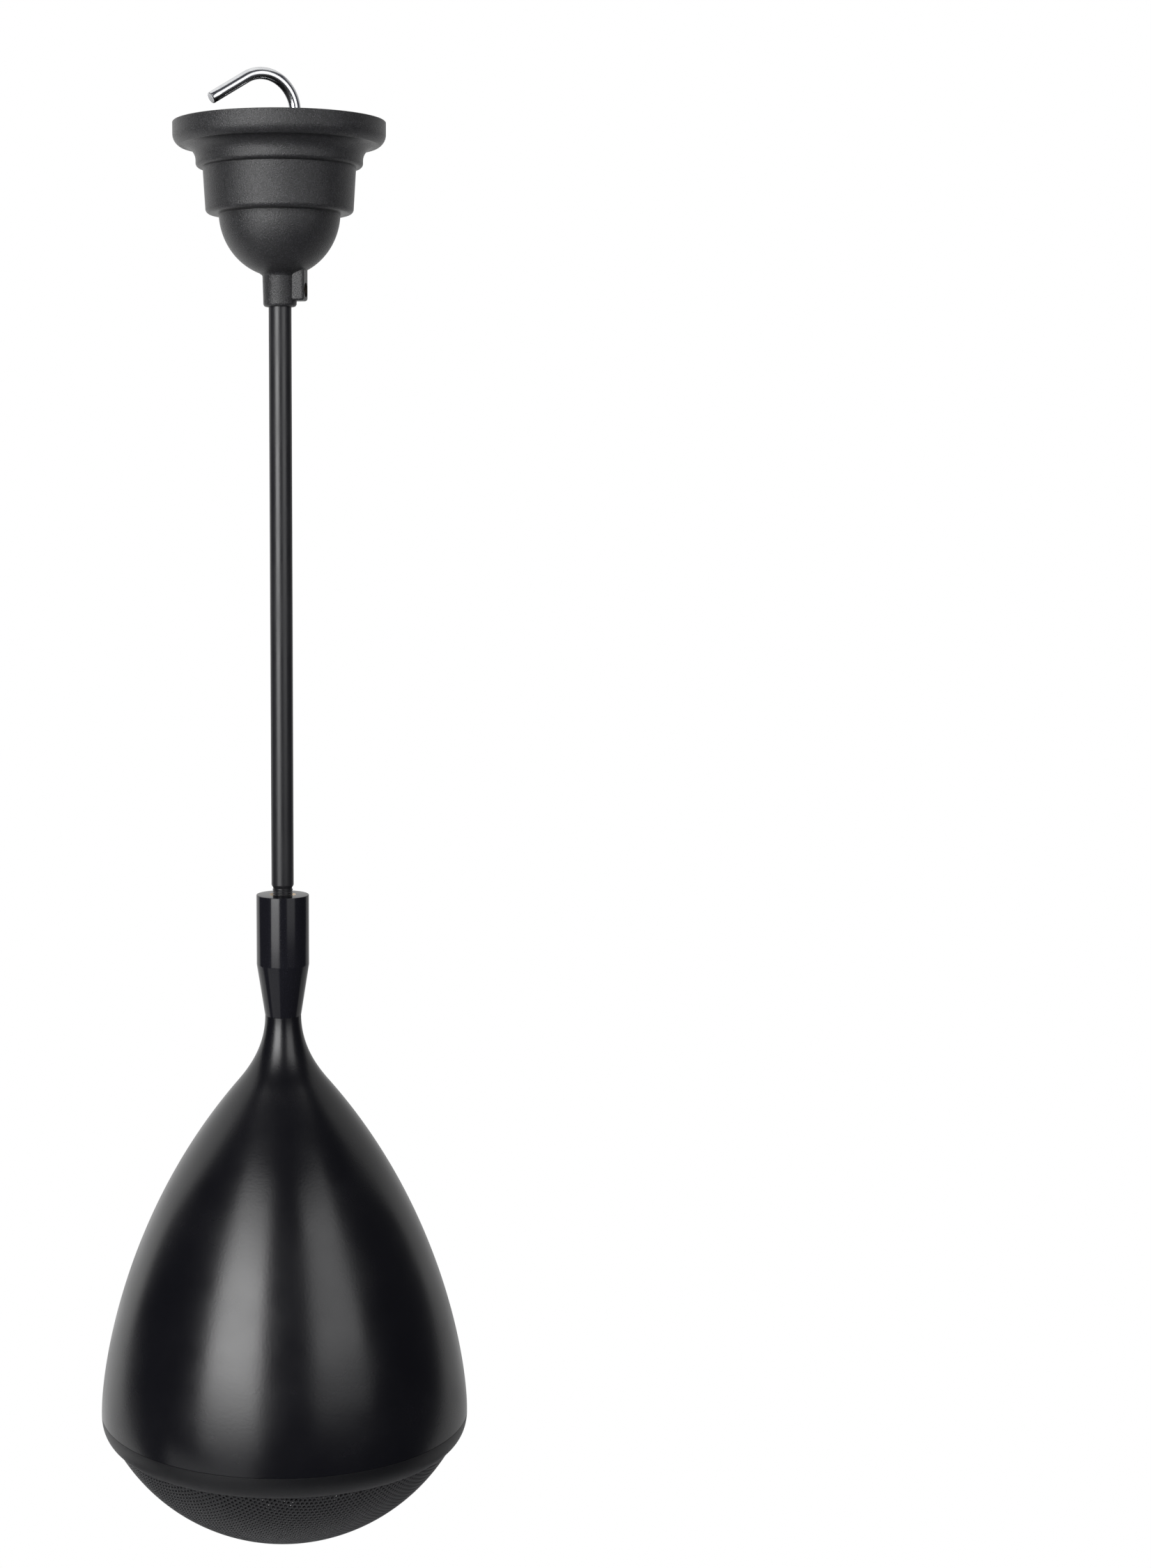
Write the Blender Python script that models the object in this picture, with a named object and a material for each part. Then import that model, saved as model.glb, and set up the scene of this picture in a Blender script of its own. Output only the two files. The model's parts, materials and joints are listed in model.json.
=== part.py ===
"""Pendant loudspeaker on a tube stem, hung by a hook, with a canopy that slides on the stem.

Metres, +Z up. The origin is on the stem's axis, level with the inside of the hook's arch, where
the ceiling fixing bears. The hook lies in the XZ plane, and everything below it is turned about Z.
"""
import math

import bmesh
import bpy
from mathutils import Matrix, Vector
from mathutils.geometry import delaunay_2d_cdt

# Fits and facets
SEAT = 0.0003            # left between two pieces that touch
SLIDE_FIT = 0.0003       # round the tube, all round, for the canopy to slide
EDGE = 0.0006            # broken edge on turned pieces
STEPS = 32               # facets round the large turned pieces
FRAME_STEPS = 24         # facets round the driver's frame and the neck
SMALL_STEPS = 16         # facets round the smaller pieces
BORE_STEPS = 12          # facets round small bores
SCREW_STEPS = 8          # facets round the screws

# Hook, bent from round bar
ROD_R = 0.0035
HOOK_INNER_R = 0.0166
HOOK_OFFSET = 0.0101     # from the stem's axis to the centre of the arch
HOOK_LEAD = 0.0250       # straight run from the arch to the open tip
HOOK_LEAD_SLOPE = 31.0   # degrees below level
SWAN_BEND_R = 0.0100     # centre line of the bend that brings the bar back over the stem
SHANK_SHOWN = 0.0010     # straight bar between the bend and its nut

# Lock nut and cap at the top of the stem
HOOK_NUT_H = 0.0050
HOOK_NUT_FLATS = 0.0120
CAP_FLANGE = 0.0040
CAP_SPIGOT = 0.0119
SPIGOT_WALL = 0.0004     # left round the shank's hole
SHANK_IN_CAP = 0.0110

# Stem tube
STEM_DROP = 0.4640       # from the hook's bearing to the top of the neck connector
TUBE_WALL = 0.0020
THREAD_DEPTH = 0.00055   # from the tube's outside in to the threaded end
THREAD_SHOWN = 0.0062    # from the connector's top up to the tube's full diameter
TUBE_CHAMFER = 0.0023
THREAD_IN = 0.0200       # threaded end inside the connector
CABLE_HOLE_R = 0.0030
CABLE_HOLE_DROP = 0.0090   # below the cap's spigot
GROMMET_FLANGE_R = 0.0046
GROMMET_FLANGE_H = 0.0012
GROMMET_BORE_R = 0.0018

# Canopy, moulded in one piece
CANOPY_TOP = -0.0232     # height of the rim that meets the ceiling
CANOPY_WALL = 0.0022
RIM_R = 0.0602
RIM_H = 0.0129
RIM_EDGE = 0.0070
RIM_EDGE_TURN = 62.0     # degrees that the rim's lower edge bends in, up to its crease
RIM_LEDGE = 0.0129       # from the rim's outside in to the waist
COVE_R = 0.0082          # hollow under the rim
WAIST_H = 0.0250         # from the rim's top to the shoulder under the waist
WAIST_EDGE = 0.0024
WAIST_LEDGE = 0.0040     # from the waist in to the drum
DRUM_H = 0.0256
DRUM_TAPER = 0.0013
DRUM_EDGE = 0.0028
DRUM_LEDGE = 0.0088      # from the drum in to the bowl
BOWL_H = 0.0362
BOWL_RISE = 0.0030       # from the bowl's top edge up to the middle of its curve
BOWL_WALL = 0.0018
BOWL_ROOM_H = 0.0303
BOWL_STEP = 0.0018       # from the drum's underside to the bowl's top edge
COLLAR_WALL = 0.0031
COLLAR_TAPER = 0.0004
COLLAR_H = 0.0499        # from the bowl's top edge to the collar's end
COLLAR_EDGE = 0.0018
CANOPY_FLOOR = 0.0265    # depth of the flat floor inside the bowl

# Clamp boss on the collar, with its screw
BOSS_TURN = -39.0        # degrees about Z from the hook's plane
BOSS_PROUD = 0.0052      # from the collar's outside to the boss's face
BOSS_W = 0.0112
BOSS_TOP = 0.0277        # below the bowl's top edge
BOSS_H = 0.0190
BOSS_EDGE = 0.0016
INSERT_R = 0.0038
INSERT_L = 0.0037
INSERT_SUNK = 0.0020     # from the boss's face in to the insert
CLAMP_SCREW_R = 0.0021
CLAMP_SCREW_L = 0.0057
CLAMP_SOCKET_R = 0.0012
CLAMP_SOCKET_L = 0.0020

# Neck connector, turned from bar
CONNECTOR_R = 0.0154
CONNECTOR_STRAIGHT = 0.0412
CONNECTOR_TAPER = 0.0303
CONNECTOR_MOUTH = 0.0015   # countersink at the threaded hole
NECK_R = 0.0106
STUB_WALL = 0.0025
STUB_PAST = 0.0032       # stub that shows beyond its nut

# Housing, cast in one piece
HOUSING_H = 0.2399
HOUSING_R = 0.1093
HOUSING_WALL = 0.0025
THROAT_H = 0.0405        # down to where the flare turns into the bell
THROAT_R = 0.0276
THROAT_LEAN = 40.2       # degrees off the axis there
NECK_PULL = 0.0192       # handles of the two curves, along their end tangents
THROAT_PULL_UP = 0.0106
THROAT_PULL_DOWN = 0.1037
SKIRT_PULL = 0.0279
NECK_SEAT = 0.0362       # from the housing's top down to the seat inside it
PILLAR_R = 0.0060
PILLAR_H = 0.0240

# Washer and nut inside the neck
WASHER_R = 0.0125
WASHER_T = 0.0015
NECK_NUT_H = 0.0080
NECK_NUT_FLATS = 0.0220

# Baffle ring, moulded, with the plate that carries the driver
RING_H = 0.0136
RING_TUCK = 0.0059       # from the housing's outside in to the ring's lip
RING_LIP_W = 0.0005
RING_CURVE_TOP = 0.0066  # handles of the ring's outer curve
RING_CURVE_LOW = 0.0046
PLATE_T = 0.0040
SCREW_R = 0.0020
SCREW_HEAD_R = 0.0036
SCREW_HEAD_H = 0.0024
SCREW_HOLE_FIT = 0.0004
BAFFLE_SCREW_L = 0.0180

# Grille, perforated sheet drawn to a dome
GRILLE_T = 0.0010
GRILLE_DEPTH = 0.0618
GRILLE_PITCH = 0.0160
GRILLE_HOLE_R = 0.0062   # across the corners of a hole, halved
GRILLE_BORDER = 0.0030   # plain metal inside the rim

# Driver, 165 mm across its flange
SCREW_LAND = 0.0191      # ring of plate between its flange and the grille, for the baffle screws
FLANGE_W = 0.0110        # from its outside in to the basket's mouth
FLANGE_T = 0.0020
GASKET_T = 0.0010
CUTOUT_FIT = 0.0014      # between the basket's shoulder and the plate's cut-out
BASKET_WALL = 0.0020
BASKET_DEPTH = 0.0546
BASKET_LEAN = 0.0230     # how far the basket narrows from its mouth to the spider's seat
SPIDER_SEAT_H = 0.0381   # from the flange's back to the face that the spider is glued to
SPIDER_SEAT_W = 0.0055
ARM_W = 0.0155           # arms between the basket's windows, at the spider's seat
WINDOW_COUNT = 6
DRIVER_SCREW_IN = 0.0040 # from the flange's outside in to its screws
DRIVER_SCREW_L = 0.0110
SCREW_COUNT = 4
SCREW_TURN = 7.5         # degrees from the hook's plane to the first of them
POLE_SHARE = 0.428       # of the top plate's radius
GAP_W = 0.0028           # magnetic gap
TOP_PLATE_T = 0.0060
MAGNET_PROUD = 0.0020    # magnet beyond the plates' edges
MAGNET_CLEAR = 0.0056    # between the pole and the magnet
MAGNET_T = 0.0180
YOKE_T = 0.0060
FORMER_FIT = 0.0008      # between the pole and the former
FORMER_T = 0.0004
COIL_T = 0.0005
COIL_H = 0.0120
COIL_BACK = 0.0100       # former behind the top plate's front face
FORMER_FRONT = 0.0030    # former in front of the cone's small end
CONE_T = 0.0006
CONE_MARGIN = 0.0135     # from the basket's mouth in to the cone's rim, taken up by the roll
CONE_H = 0.0330
CONE_BULGE = 0.0035
SPIDER_T = 0.0005
WAVE_COUNT = 4
SPIDER_WAVE_H = 0.0012
SURROUND_T = 0.0008
SURROUND_LIP = 0.0036
SURROUND_GLUE = 0.0016   # surround glued on the cone's rim
ROLL_GAP = 0.0006        # from the cone's rim to the roll
ROLL_EDGE = 0.0008       # from the roll to the basket's mouth

# High-frequency unit on a post in front of the cone
TWEETER_R = 0.0190
TWEETER_H = 0.0155
TWEETER_FRONT = 0.0060   # behind the flange's front face
TWEETER_DOME_R = 0.0126
TWEETER_DOME_H = 0.0050
TWEETER_DOME_SUNK = 0.0045
TWEETER_BEVEL = 0.0018   # front edge, across
TWEETER_BEVEL_H = 0.0010
TWEETER_BACK = 0.0050    # taper at the back, across
TWEETER_BACK_H = 0.0045
TWEETER_LIP = 0.0035     # straight wall of the dome's cup, from the front
TWEETER_MOTOR_IN = 0.0030   # from the dome's rim in to its motor
TWEETER_SHELL_T = 0.0005
TWEETER_CUP_H = 0.0090
TWEETER_MOTOR_H = 0.0030
TWEETER_POST_R = 0.0050

# Parts hung under the neck, inside the housing
STRAP_T = 0.0015
STRAP_W = 0.0220
STRAP_LEG = 0.0360
STRAP_FOOT = 0.0230
NUT_CLEAR = 0.0010       # between the neck nut's corners and the strap's legs
CORE_W = 0.0480
CORE_D = 0.0250
CORE_H = 0.0400
CORE_WINDOW_W = 0.0080
CORE_WINDOW_H = 0.0240
COIL_OUT = 0.0060        # winding beyond each face of the core
FRAME_T = 0.0008
FRAME_SIDE = 0.0280
FRAME_INSET = 0.0025     # core that shows at each end of its frame
EAR_SCREW_IN = 0.0046    # from the feet's ends in to their screws
EAR_SCREW_R = 0.0016
EAR_SCREW_L = 0.0080
BOARD_T = 0.0016
BOARD_W = 0.0320
BOARD_H = 0.0240
BOARD_OFF = 0.0036       # from the strap's leg
BOARD_DROP = 0.0100
SPACER_R = 0.0025
CAPACITOR_R = 0.0045
CAPACITOR_L = 0.0200
INDUCTOR_R = 0.0060
INDUCTOR_HOLE_R = 0.0030
INDUCTOR_H = 0.0050
TERMINAL_W = 0.0200
TERMINAL_D = 0.0120
TERMINAL_H = 0.0110
TERMINAL_DROP = 0.0180
TERMINAL_SCREW_R = 0.0018
TERMINAL_SCREW_L = 0.0084
WIRE_HOLE_R = 0.0016
LINING_T = 0.0080
LINING_TOP = 0.1150      # from the housing's top to the felt's upper edge
LINING_FOOT = 0.0129     # from the pillars up to the felt's lower edge

# Radii worked out from the sizes
TUBE_BORE_R = ROD_R + SEAT + SPIGOT_WALL + SEAT
TUBE_R = TUBE_BORE_R + TUBE_WALL
THREAD_R = TUBE_R - THREAD_DEPTH
STUB_R = TUBE_BORE_R + STUB_WALL
WAIST_R = RIM_R - RIM_LEDGE
DRUM_R = WAIST_R - WAIST_LEDGE
BOWL_R = DRUM_R - DRUM_LEDGE
COLLAR_R = TUBE_R + SLIDE_FIT + COLLAR_WALL
BOSS_REACH = COLLAR_R + BOSS_PROUD
RING_LIP_R = HOUSING_R - RING_TUCK
SKIRT_R = RING_LIP_R - RING_LIP_W - SEAT
FLANGE_R = SKIRT_R - GRILLE_T - SCREW_LAND
RIM_SCREW_R = FLANGE_R + SCREW_LAND / 2
DRIVER_SCREW_R = FLANGE_R - DRIVER_SCREW_IN
BASKET_MOUTH_R = FLANGE_R - FLANGE_W
SHOULDER_R = BASKET_MOUTH_R + 0.8 * BASKET_WALL
CUTOUT_R = SHOULDER_R + CUTOUT_FIT
SPIDER_SEAT_R = BASKET_MOUTH_R - BASKET_LEAN
TOP_PLATE_R = SPIDER_SEAT_R - SPIDER_SEAT_W
POLE_R = POLE_SHARE * TOP_PLATE_R
MAGNET_R = TOP_PLATE_R + MAGNET_PROUD
MAGNET_BORE_R = POLE_R + MAGNET_CLEAR
CONE_R = BASKET_MOUTH_R - CONE_MARGIN
FORMER_R = POLE_R + FORMER_FIT
FORMER_OUT = FORMER_R + FORMER_T
LEG_X = NECK_NUT_FLATS / math.sqrt(3) + NUT_CLEAR
LEG_OUT = LEG_X + STRAP_T
EAR_X = LEG_OUT + STRAP_FOOT - EAR_SCREW_IN

# Heights worked out from the sizes, from the hook down
HOOK_R = HOOK_INNER_R + ROD_R
ARCH_Z = -HOOK_INNER_R
SWAN_Z = ARCH_Z - math.sqrt((HOOK_R + SWAN_BEND_R) ** 2 - (HOOK_OFFSET + SWAN_BEND_R) ** 2)
HOOK_NUT_Z = SWAN_Z - SHANK_SHOWN - HOOK_NUT_H
CAP_Z = HOOK_NUT_Z - SEAT
TUBE_TOP = CAP_Z - CAP_FLANGE - SEAT
CABLE_HOLE_Z = TUBE_TOP - CAP_SPIGOT - CABLE_HOLE_DROP
CONNECTOR_TOP = -STEM_DROP
NECK_Z = CONNECTOR_TOP - CONNECTOR_STRAIGHT - CONNECTOR_TAPER
HOUSING_TOP = NECK_Z - SEAT
SEAM_Z = HOUSING_TOP - HOUSING_H
SEAT_Z = HOUSING_TOP - NECK_SEAT
STRAP_Z = SEAT_Z - SEAT
WASHER_Z = STRAP_Z - STRAP_T - SEAT
NECK_NUT_Z = WASHER_Z - WASHER_T - SEAT
STUB_END = NECK_NUT_Z - NECK_NUT_H - STUB_PAST
RING_TOP = SEAM_Z - SEAT
PLATE_Z = RING_TOP - PLATE_T
LIP_Z = RING_TOP - RING_H
SKIRT_TOP = PLATE_Z - SEAT
GASKET_Z = PLATE_Z - SEAT
FLANGE_Z = GASKET_Z - GASKET_T - SEAT
FLANGE_FRONT = FLANGE_Z - FLANGE_T
BASKET_BACK = FLANGE_Z + BASKET_DEPTH
SPIDER_SEAT_Z = FLANGE_Z + SPIDER_SEAT_H
TOP_PLATE_Z = BASKET_BACK + SEAT
MAGNET_Z = TOP_PLATE_Z + TOP_PLATE_T + SEAT
YOKE_Z = MAGNET_Z + MAGNET_T + SEAT
FORMER_TOP = TOP_PLATE_Z + COIL_BACK
CONE_FRONT = FLANGE_FRONT + SEAT
CONE_BACK = CONE_FRONT + CONE_H
TWEETER_Z = FLANGE_FRONT + TWEETER_FRONT
DRUM_Z = CANOPY_TOP - WAIST_H
BOWL_Z = DRUM_Z - DRUM_H - BOWL_STEP
COLLAR_END = BOWL_Z - COLLAR_H
BOSS_Z = BOWL_Z - BOSS_TOP - BOSS_H
CLAMP_Z = BOSS_Z + 0.32 * BOSS_H
FOOT_Z = STRAP_Z - STRAP_T - STRAP_LEG
FRAME_TOP = FOOT_Z - SEAT
CORE_TOP = FRAME_TOP - FRAME_T - SEAT
PLAIN = {}


def clear_scene():
    """Empty the open file of objects."""
    for obj in list(bpy.data.objects):
        bpy.data.objects.remove(obj, do_unlink=True)


def material(name, colour, roughness, metallic=0.0):
    """Plain shader with one colour, made once for each name."""
    if name not in PLAIN:
        mat = bpy.data.materials.new(name)
        mat.use_nodes = True
        shader = mat.node_tree.nodes["Principled BSDF"]
        shader.inputs["Base Color"].default_value = (*colour, 1.0)
        shader.inputs["Roughness"].default_value = roughness
        shader.inputs["Metallic"].default_value = metallic
        mat.diffuse_color = (*colour, 1.0)
        PLAIN[name] = mat
    return PLAIN[name]


def chrome():
    return material("polished_chrome", (0.62, 0.63, 0.65), 0.08, 1.0)


def black_lacquer():
    return material("black_lacquer", (0.006, 0.006, 0.008), 0.22)


def moulded_black():
    return material("moulded_black", (0.030, 0.030, 0.033), 0.62)


def dark_steel():
    return material("dark_steel", (0.055, 0.055, 0.060), 0.50)


def bright_steel():
    return material("bright_steel", (0.50, 0.51, 0.52), 0.32, 1.0)


def brass():
    return material("turned_brass", (0.60, 0.43, 0.17), 0.30, 1.0)


def copper():
    return material("wound_copper", (0.55, 0.21, 0.09), 0.35, 1.0)


def ferrite():
    return material("ferrite", (0.035, 0.035, 0.038), 0.70)


def soft_rubber():
    return material("soft_rubber", (0.012, 0.012, 0.013), 0.75)


def felt():
    return material("grey_felt", (0.22, 0.22, 0.21), 0.95)


def pressed_paper():
    return material("pressed_paper", (0.040, 0.038, 0.036), 0.85)


def woven_cloth():
    return material("woven_cloth", (0.42, 0.27, 0.10), 0.85)


def board_green():
    return material("board_green", (0.03, 0.16, 0.07), 0.45)


def arc(centre, radius, start, end, count):
    """Points (r, z) round a centre, from one angle in degrees to another, ends included."""
    turn = [math.radians(start + (end - start) * i / count) for i in range(count + 1)]
    return [(centre[0] + radius * math.cos(a), centre[1] + radius * math.sin(a)) for a in turn]


def bezier(a, b, c, d, count):
    """Points (r, z) along a cubic curve, ends included."""
    points = []
    for i in range(count + 1):
        t = i / count
        u = 1 - t
        weights = (u ** 3, 3 * t * u * u, 3 * t * t * u, t ** 3)
        points.append(tuple(sum(w * p[k] for w, p in zip(weights, (a, b, c, d))) for k in (0, 1)))
    return points


def inset(points, distance):
    """The same line moved to its right-hand side, square to its run at each point."""
    moved = []
    for i, (r, z) in enumerate(points):
        before = points[max(i - 1, 0)]
        after = points[min(i + 1, len(points) - 1)]
        run = Vector((after[0] - before[0], after[1] - before[1])).normalized()
        moved.append((r + run.y * distance, z - run.x * distance))
    return moved


def at_height(points, z):
    """Radius of a falling outline at one height."""
    for (r0, z0), (r1, z1) in zip(points, points[1:]):
        if z0 >= z >= z1:
            return r0 + (r1 - r0) * (z0 - z) / (z0 - z1)
    return points[-1][0]


def new_object(name, bm, mat, smooth=35):
    """Put a finished mesh into the scene under its own name."""
    bmesh.ops.remove_doubles(bm, verts=bm.verts, dist=1e-6)
    bmesh.ops.recalc_face_normals(bm, faces=bm.faces)
    mesh = bpy.data.meshes.new(name)
    bm.to_mesh(mesh)
    bm.free()
    mesh.shade_smooth()
    mesh.set_sharp_from_angle(angle=math.radians(smooth))
    mesh.materials.append(mat)
    obj = bpy.data.objects.new(name, mesh)
    bpy.context.collection.objects.link(obj)
    return obj


def turned(name, outline, mat, steps=SMALL_STEPS):
    """Turn a closed outline (r, z) about Z. Points on the axis close the solid there."""
    bm = bmesh.new()
    verts = [bm.verts.new((r, 0, z)) for r, z in outline]
    edges = []
    for a, b in zip(verts, verts[1:] + verts[:1]):
        if a.co.x > 0 or b.co.x > 0:
            edges.append(bm.edges.new((a, b)))
    bmesh.ops.spin(bm, geom=verts + edges, cent=(0, 0, 0), axis=(0, 0, 1), angle=math.tau,
                   steps=steps, use_merge=True)
    return new_object(name, bm, mat)


def ring(name, inner, outer, low, high, mat, steps=SMALL_STEPS):
    """Plain washer shape."""
    return turned(name, [(inner, low), (outer, low), (outer, high), (inner, high)], mat, steps)


def rod(name, radius, low, high, mat, steps=SCREW_STEPS):
    """Plain round bar on the Z axis."""
    return turned(name, [(0, low), (radius, low), (radius, high), (0, high)], mat, steps)


def prism(name, outline, depth, mat):
    """Extrude an outline (x, z) to both sides of the XZ plane."""
    bm = bmesh.new()
    face = bm.faces.new([bm.verts.new((x, -depth / 2, z)) for x, z in outline])
    out = bmesh.ops.extrude_face_region(bm, geom=[face])["geom"]
    bmesh.ops.translate(bm, verts=[v for v in out if isinstance(v, bmesh.types.BMVert)],
                        vec=(0, depth, 0))
    return new_object(name, bm, mat)


def block(name, size, centre, mat, edge=0.0):
    """Box with its edges rounded over."""
    bm = bmesh.new()
    bmesh.ops.create_cube(bm, size=1.0)
    bmesh.ops.scale(bm, verts=bm.verts, vec=size)
    if edge:
        bmesh.ops.bevel(bm, geom=bm.edges[:], offset=edge, segments=1, profile=0.5,
                        affect="EDGES", clamp_overlap=True)
    bmesh.ops.translate(bm, verts=bm.verts, vec=centre)
    return new_object(name, bm, mat)


def place(obj, location=(0, 0, 0), turn=0.0):
    """Move an object, then turn it about Z by an angle in degrees."""
    obj.matrix_world = Matrix.Rotation(math.radians(turn), 4, "Z") @ Matrix.Translation(location)
    return obj


def as_tool(obj):
    """Keep an object out of the model: it only cuts or adds."""
    obj.hide_render = True
    obj.display_type = "WIRE"
    return obj


def combine(obj, tool, operation="DIFFERENCE"):
    """Cut a tool out of an object, or add it."""
    step = obj.modifiers.new(tool.name, "BOOLEAN")
    step.operation = operation
    step.solver = "EXACT"
    step.object = as_tool(tool)
    return obj


def hexagon_nut(name, flats, height, bore_r, base_z, mat):
    """Nut with its hole, standing on a height."""
    bm = bmesh.new()
    outer = [bm.verts.new((flats / math.sqrt(3) * math.cos(a), flats / math.sqrt(3) * math.sin(a), base_z))
             for a in (math.radians(60 * i) for i in range(6))]
    inner = [bm.verts.new((bore_r * math.cos(a), bore_r * math.sin(a), base_z))
             for a in (math.radians(30 * i) for i in range(12))]
    rims = [bm.edges.new((a, b)) for loop in (outer, inner) for a, b in zip(loop, loop[1:] + loop[:1])]
    bmesh.ops.triangle_fill(bm, edges=rims, use_beauty=True)
    out = bmesh.ops.extrude_face_region(bm, geom=bm.faces[:])["geom"]
    bmesh.ops.translate(bm, verts=[v for v in out if isinstance(v, bmesh.types.BMVert)],
                        vec=(0, 0, height))
    return new_object(name, bm, mat)


def pan_screw(name, seat_z, length, radius=SCREW_R, head_r=SCREW_HEAD_R, head_h=SCREW_HEAD_H):
    """Screw that goes up from its seat, with a low rounded head under it."""
    head = arc((head_r - head_h * 0.6, seat_z - head_h * 0.4), head_h * 0.6, 0, -90, 2)
    outline = [(0, seat_z - head_h)] + head[::-1] + [(head_r, seat_z), (radius, seat_z),
               (radius, seat_z + length - radius), (radius * 0.4, seat_z + length), (0, seat_z + length)]
    return turned(name, outline, bright_steel(), SCREW_STEPS)


# Hanger: hook, its nut and the cap that closes the tube

def hook_line():
    """Centre line of the bar, from the shank's end round to the open tip."""
    points = [(0, CAP_Z - SHANK_IN_CAP), (0, HOOK_NUT_Z)]
    meet = math.degrees(math.asin((ARCH_Z - SWAN_Z) / (HOOK_R + SWAN_BEND_R)))
    points += arc((SWAN_BEND_R, SWAN_Z), SWAN_BEND_R, 180, 180 - meet, 4)
    points += arc((-HOOK_OFFSET, ARCH_Z), HOOK_R, -meet, 90 + HOOK_LEAD_SLOPE, 16)[1:]
    slope = math.radians(HOOK_LEAD_SLOPE)
    x, z = points[-1]
    points.append((x - HOOK_LEAD * math.cos(slope), z - HOOK_LEAD * math.sin(slope)))
    return points


def build_hook():
    path = bpy.data.curves.new("hook", "CURVE")
    path.dimensions = "3D"
    path.bevel_depth = ROD_R
    path.bevel_resolution = 3
    path.use_fill_caps = True
    line = hook_line()
    spline = path.splines.new("POLY")
    spline.points.add(len(line) - 1)
    for point, (x, z) in zip(spline.points, line):
        point.co = (x, 0, z, 1)
    path.materials.append(chrome())
    obj = bpy.data.objects.new("hook", path)
    bpy.context.collection.objects.link(obj)
    hexagon_nut("hook_nut", HOOK_NUT_FLATS, HOOK_NUT_H, ROD_R + SEAT, HOOK_NUT_Z, bright_steel())


def build_stem_cap():
    spigot_r = TUBE_BORE_R - SEAT
    hole_r = ROD_R + SEAT
    foot = TUBE_TOP - CAP_SPIGOT
    turned("stem_cap", [(0, foot), (spigot_r - EDGE, foot), (spigot_r, foot + EDGE),
                        (spigot_r, TUBE_TOP + SEAT), (TUBE_R, TUBE_TOP + SEAT), (TUBE_R, CAP_Z - EDGE),
                        (TUBE_R - EDGE, CAP_Z), (hole_r, CAP_Z),
                        (hole_r, CAP_Z - SHANK_IN_CAP - SEAT), (0, CAP_Z - SHANK_IN_CAP - SEAT)],
           bright_steel())


# Stem

def build_stem_tube():
    shoulder = CONNECTOR_TOP + THREAD_SHOWN
    end = CONNECTOR_TOP - THREAD_IN
    tube = turned("stem_tube", [(TUBE_BORE_R, TUBE_TOP), (TUBE_BORE_R, end), (THREAD_R, end),
                                (THREAD_R, shoulder - TUBE_CHAMFER), (TUBE_R, shoulder), (TUBE_R, TUBE_TOP)],
                  black_lacquer())
    drill = rod("cable_hole_tool", CABLE_HOLE_R, 0, 2 * TUBE_R, black_lacquer(), BORE_STEPS)
    combine(tube, lay_along_cable_hole(drill))


def lay_along_cable_hole(obj):
    """Lay an object turned about Z along the tube's side hole, so that its height runs outwards."""
    obj.matrix_world = Matrix.Translation((0, 0, CABLE_HOLE_Z)) @ Matrix.Rotation(-math.pi / 2, 4, "X")
    return obj


def build_cable_grommet():
    """Rubber bush in the tube's side hole, where the cable goes in."""
    neck_r = CABLE_HOLE_R - SEAT
    flange = TUBE_R + SEAT
    outside = flange + GROMMET_FLANGE_H
    outline = [(GROMMET_BORE_R, TUBE_BORE_R), (neck_r, TUBE_BORE_R), (neck_r, flange),
               (GROMMET_FLANGE_R, flange), (GROMMET_FLANGE_R, outside), (GROMMET_BORE_R, outside)]
    lay_along_cable_hole(turned("cable_grommet", outline, soft_rubber(), BORE_STEPS))


# Canopy

def canopy_outer():
    """Outline of the outside, from the rim that meets the ceiling to the collar's end."""
    cove = (WAIST_R + COVE_R, CANOPY_TOP - RIM_H - COVE_R)
    line = [(RIM_R, CANOPY_TOP)]
    line += arc((RIM_R - RIM_EDGE, rim_edge_top()), RIM_EDGE, 0, -RIM_EDGE_TURN, 4)
    line += arc(cove, COVE_R, 90, 180, 4)
    line += arc((WAIST_R - WAIST_EDGE, DRUM_Z + WAIST_EDGE), WAIST_EDGE, 0, -90, 2)
    line += [(DRUM_R, DRUM_Z - 0.4 * WAIST_EDGE)]
    drum_low = DRUM_Z - DRUM_H
    line += arc((DRUM_R - DRUM_TAPER - DRUM_EDGE, drum_low + DRUM_EDGE), DRUM_EDGE, 0, -90, 2)
    stop = math.degrees(math.acos((COLLAR_R + COLLAR_EDGE) / BOWL_R))
    start = math.degrees(math.asin(BOWL_RISE / BOWL_H))
    line += [(BOWL_R * r, BOWL_Z + BOWL_RISE + BOWL_H * z) for r, z in arc((0, 0), 1, -start, -stop, 7)]
    line += [(COLLAR_R, line[-1][1] - COLLAR_EDGE)]
    end_r = COLLAR_R - COLLAR_TAPER
    line += arc((end_r - COLLAR_EDGE, COLLAR_END + COLLAR_EDGE), COLLAR_EDGE, 0, -90, 2)
    return line


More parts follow.
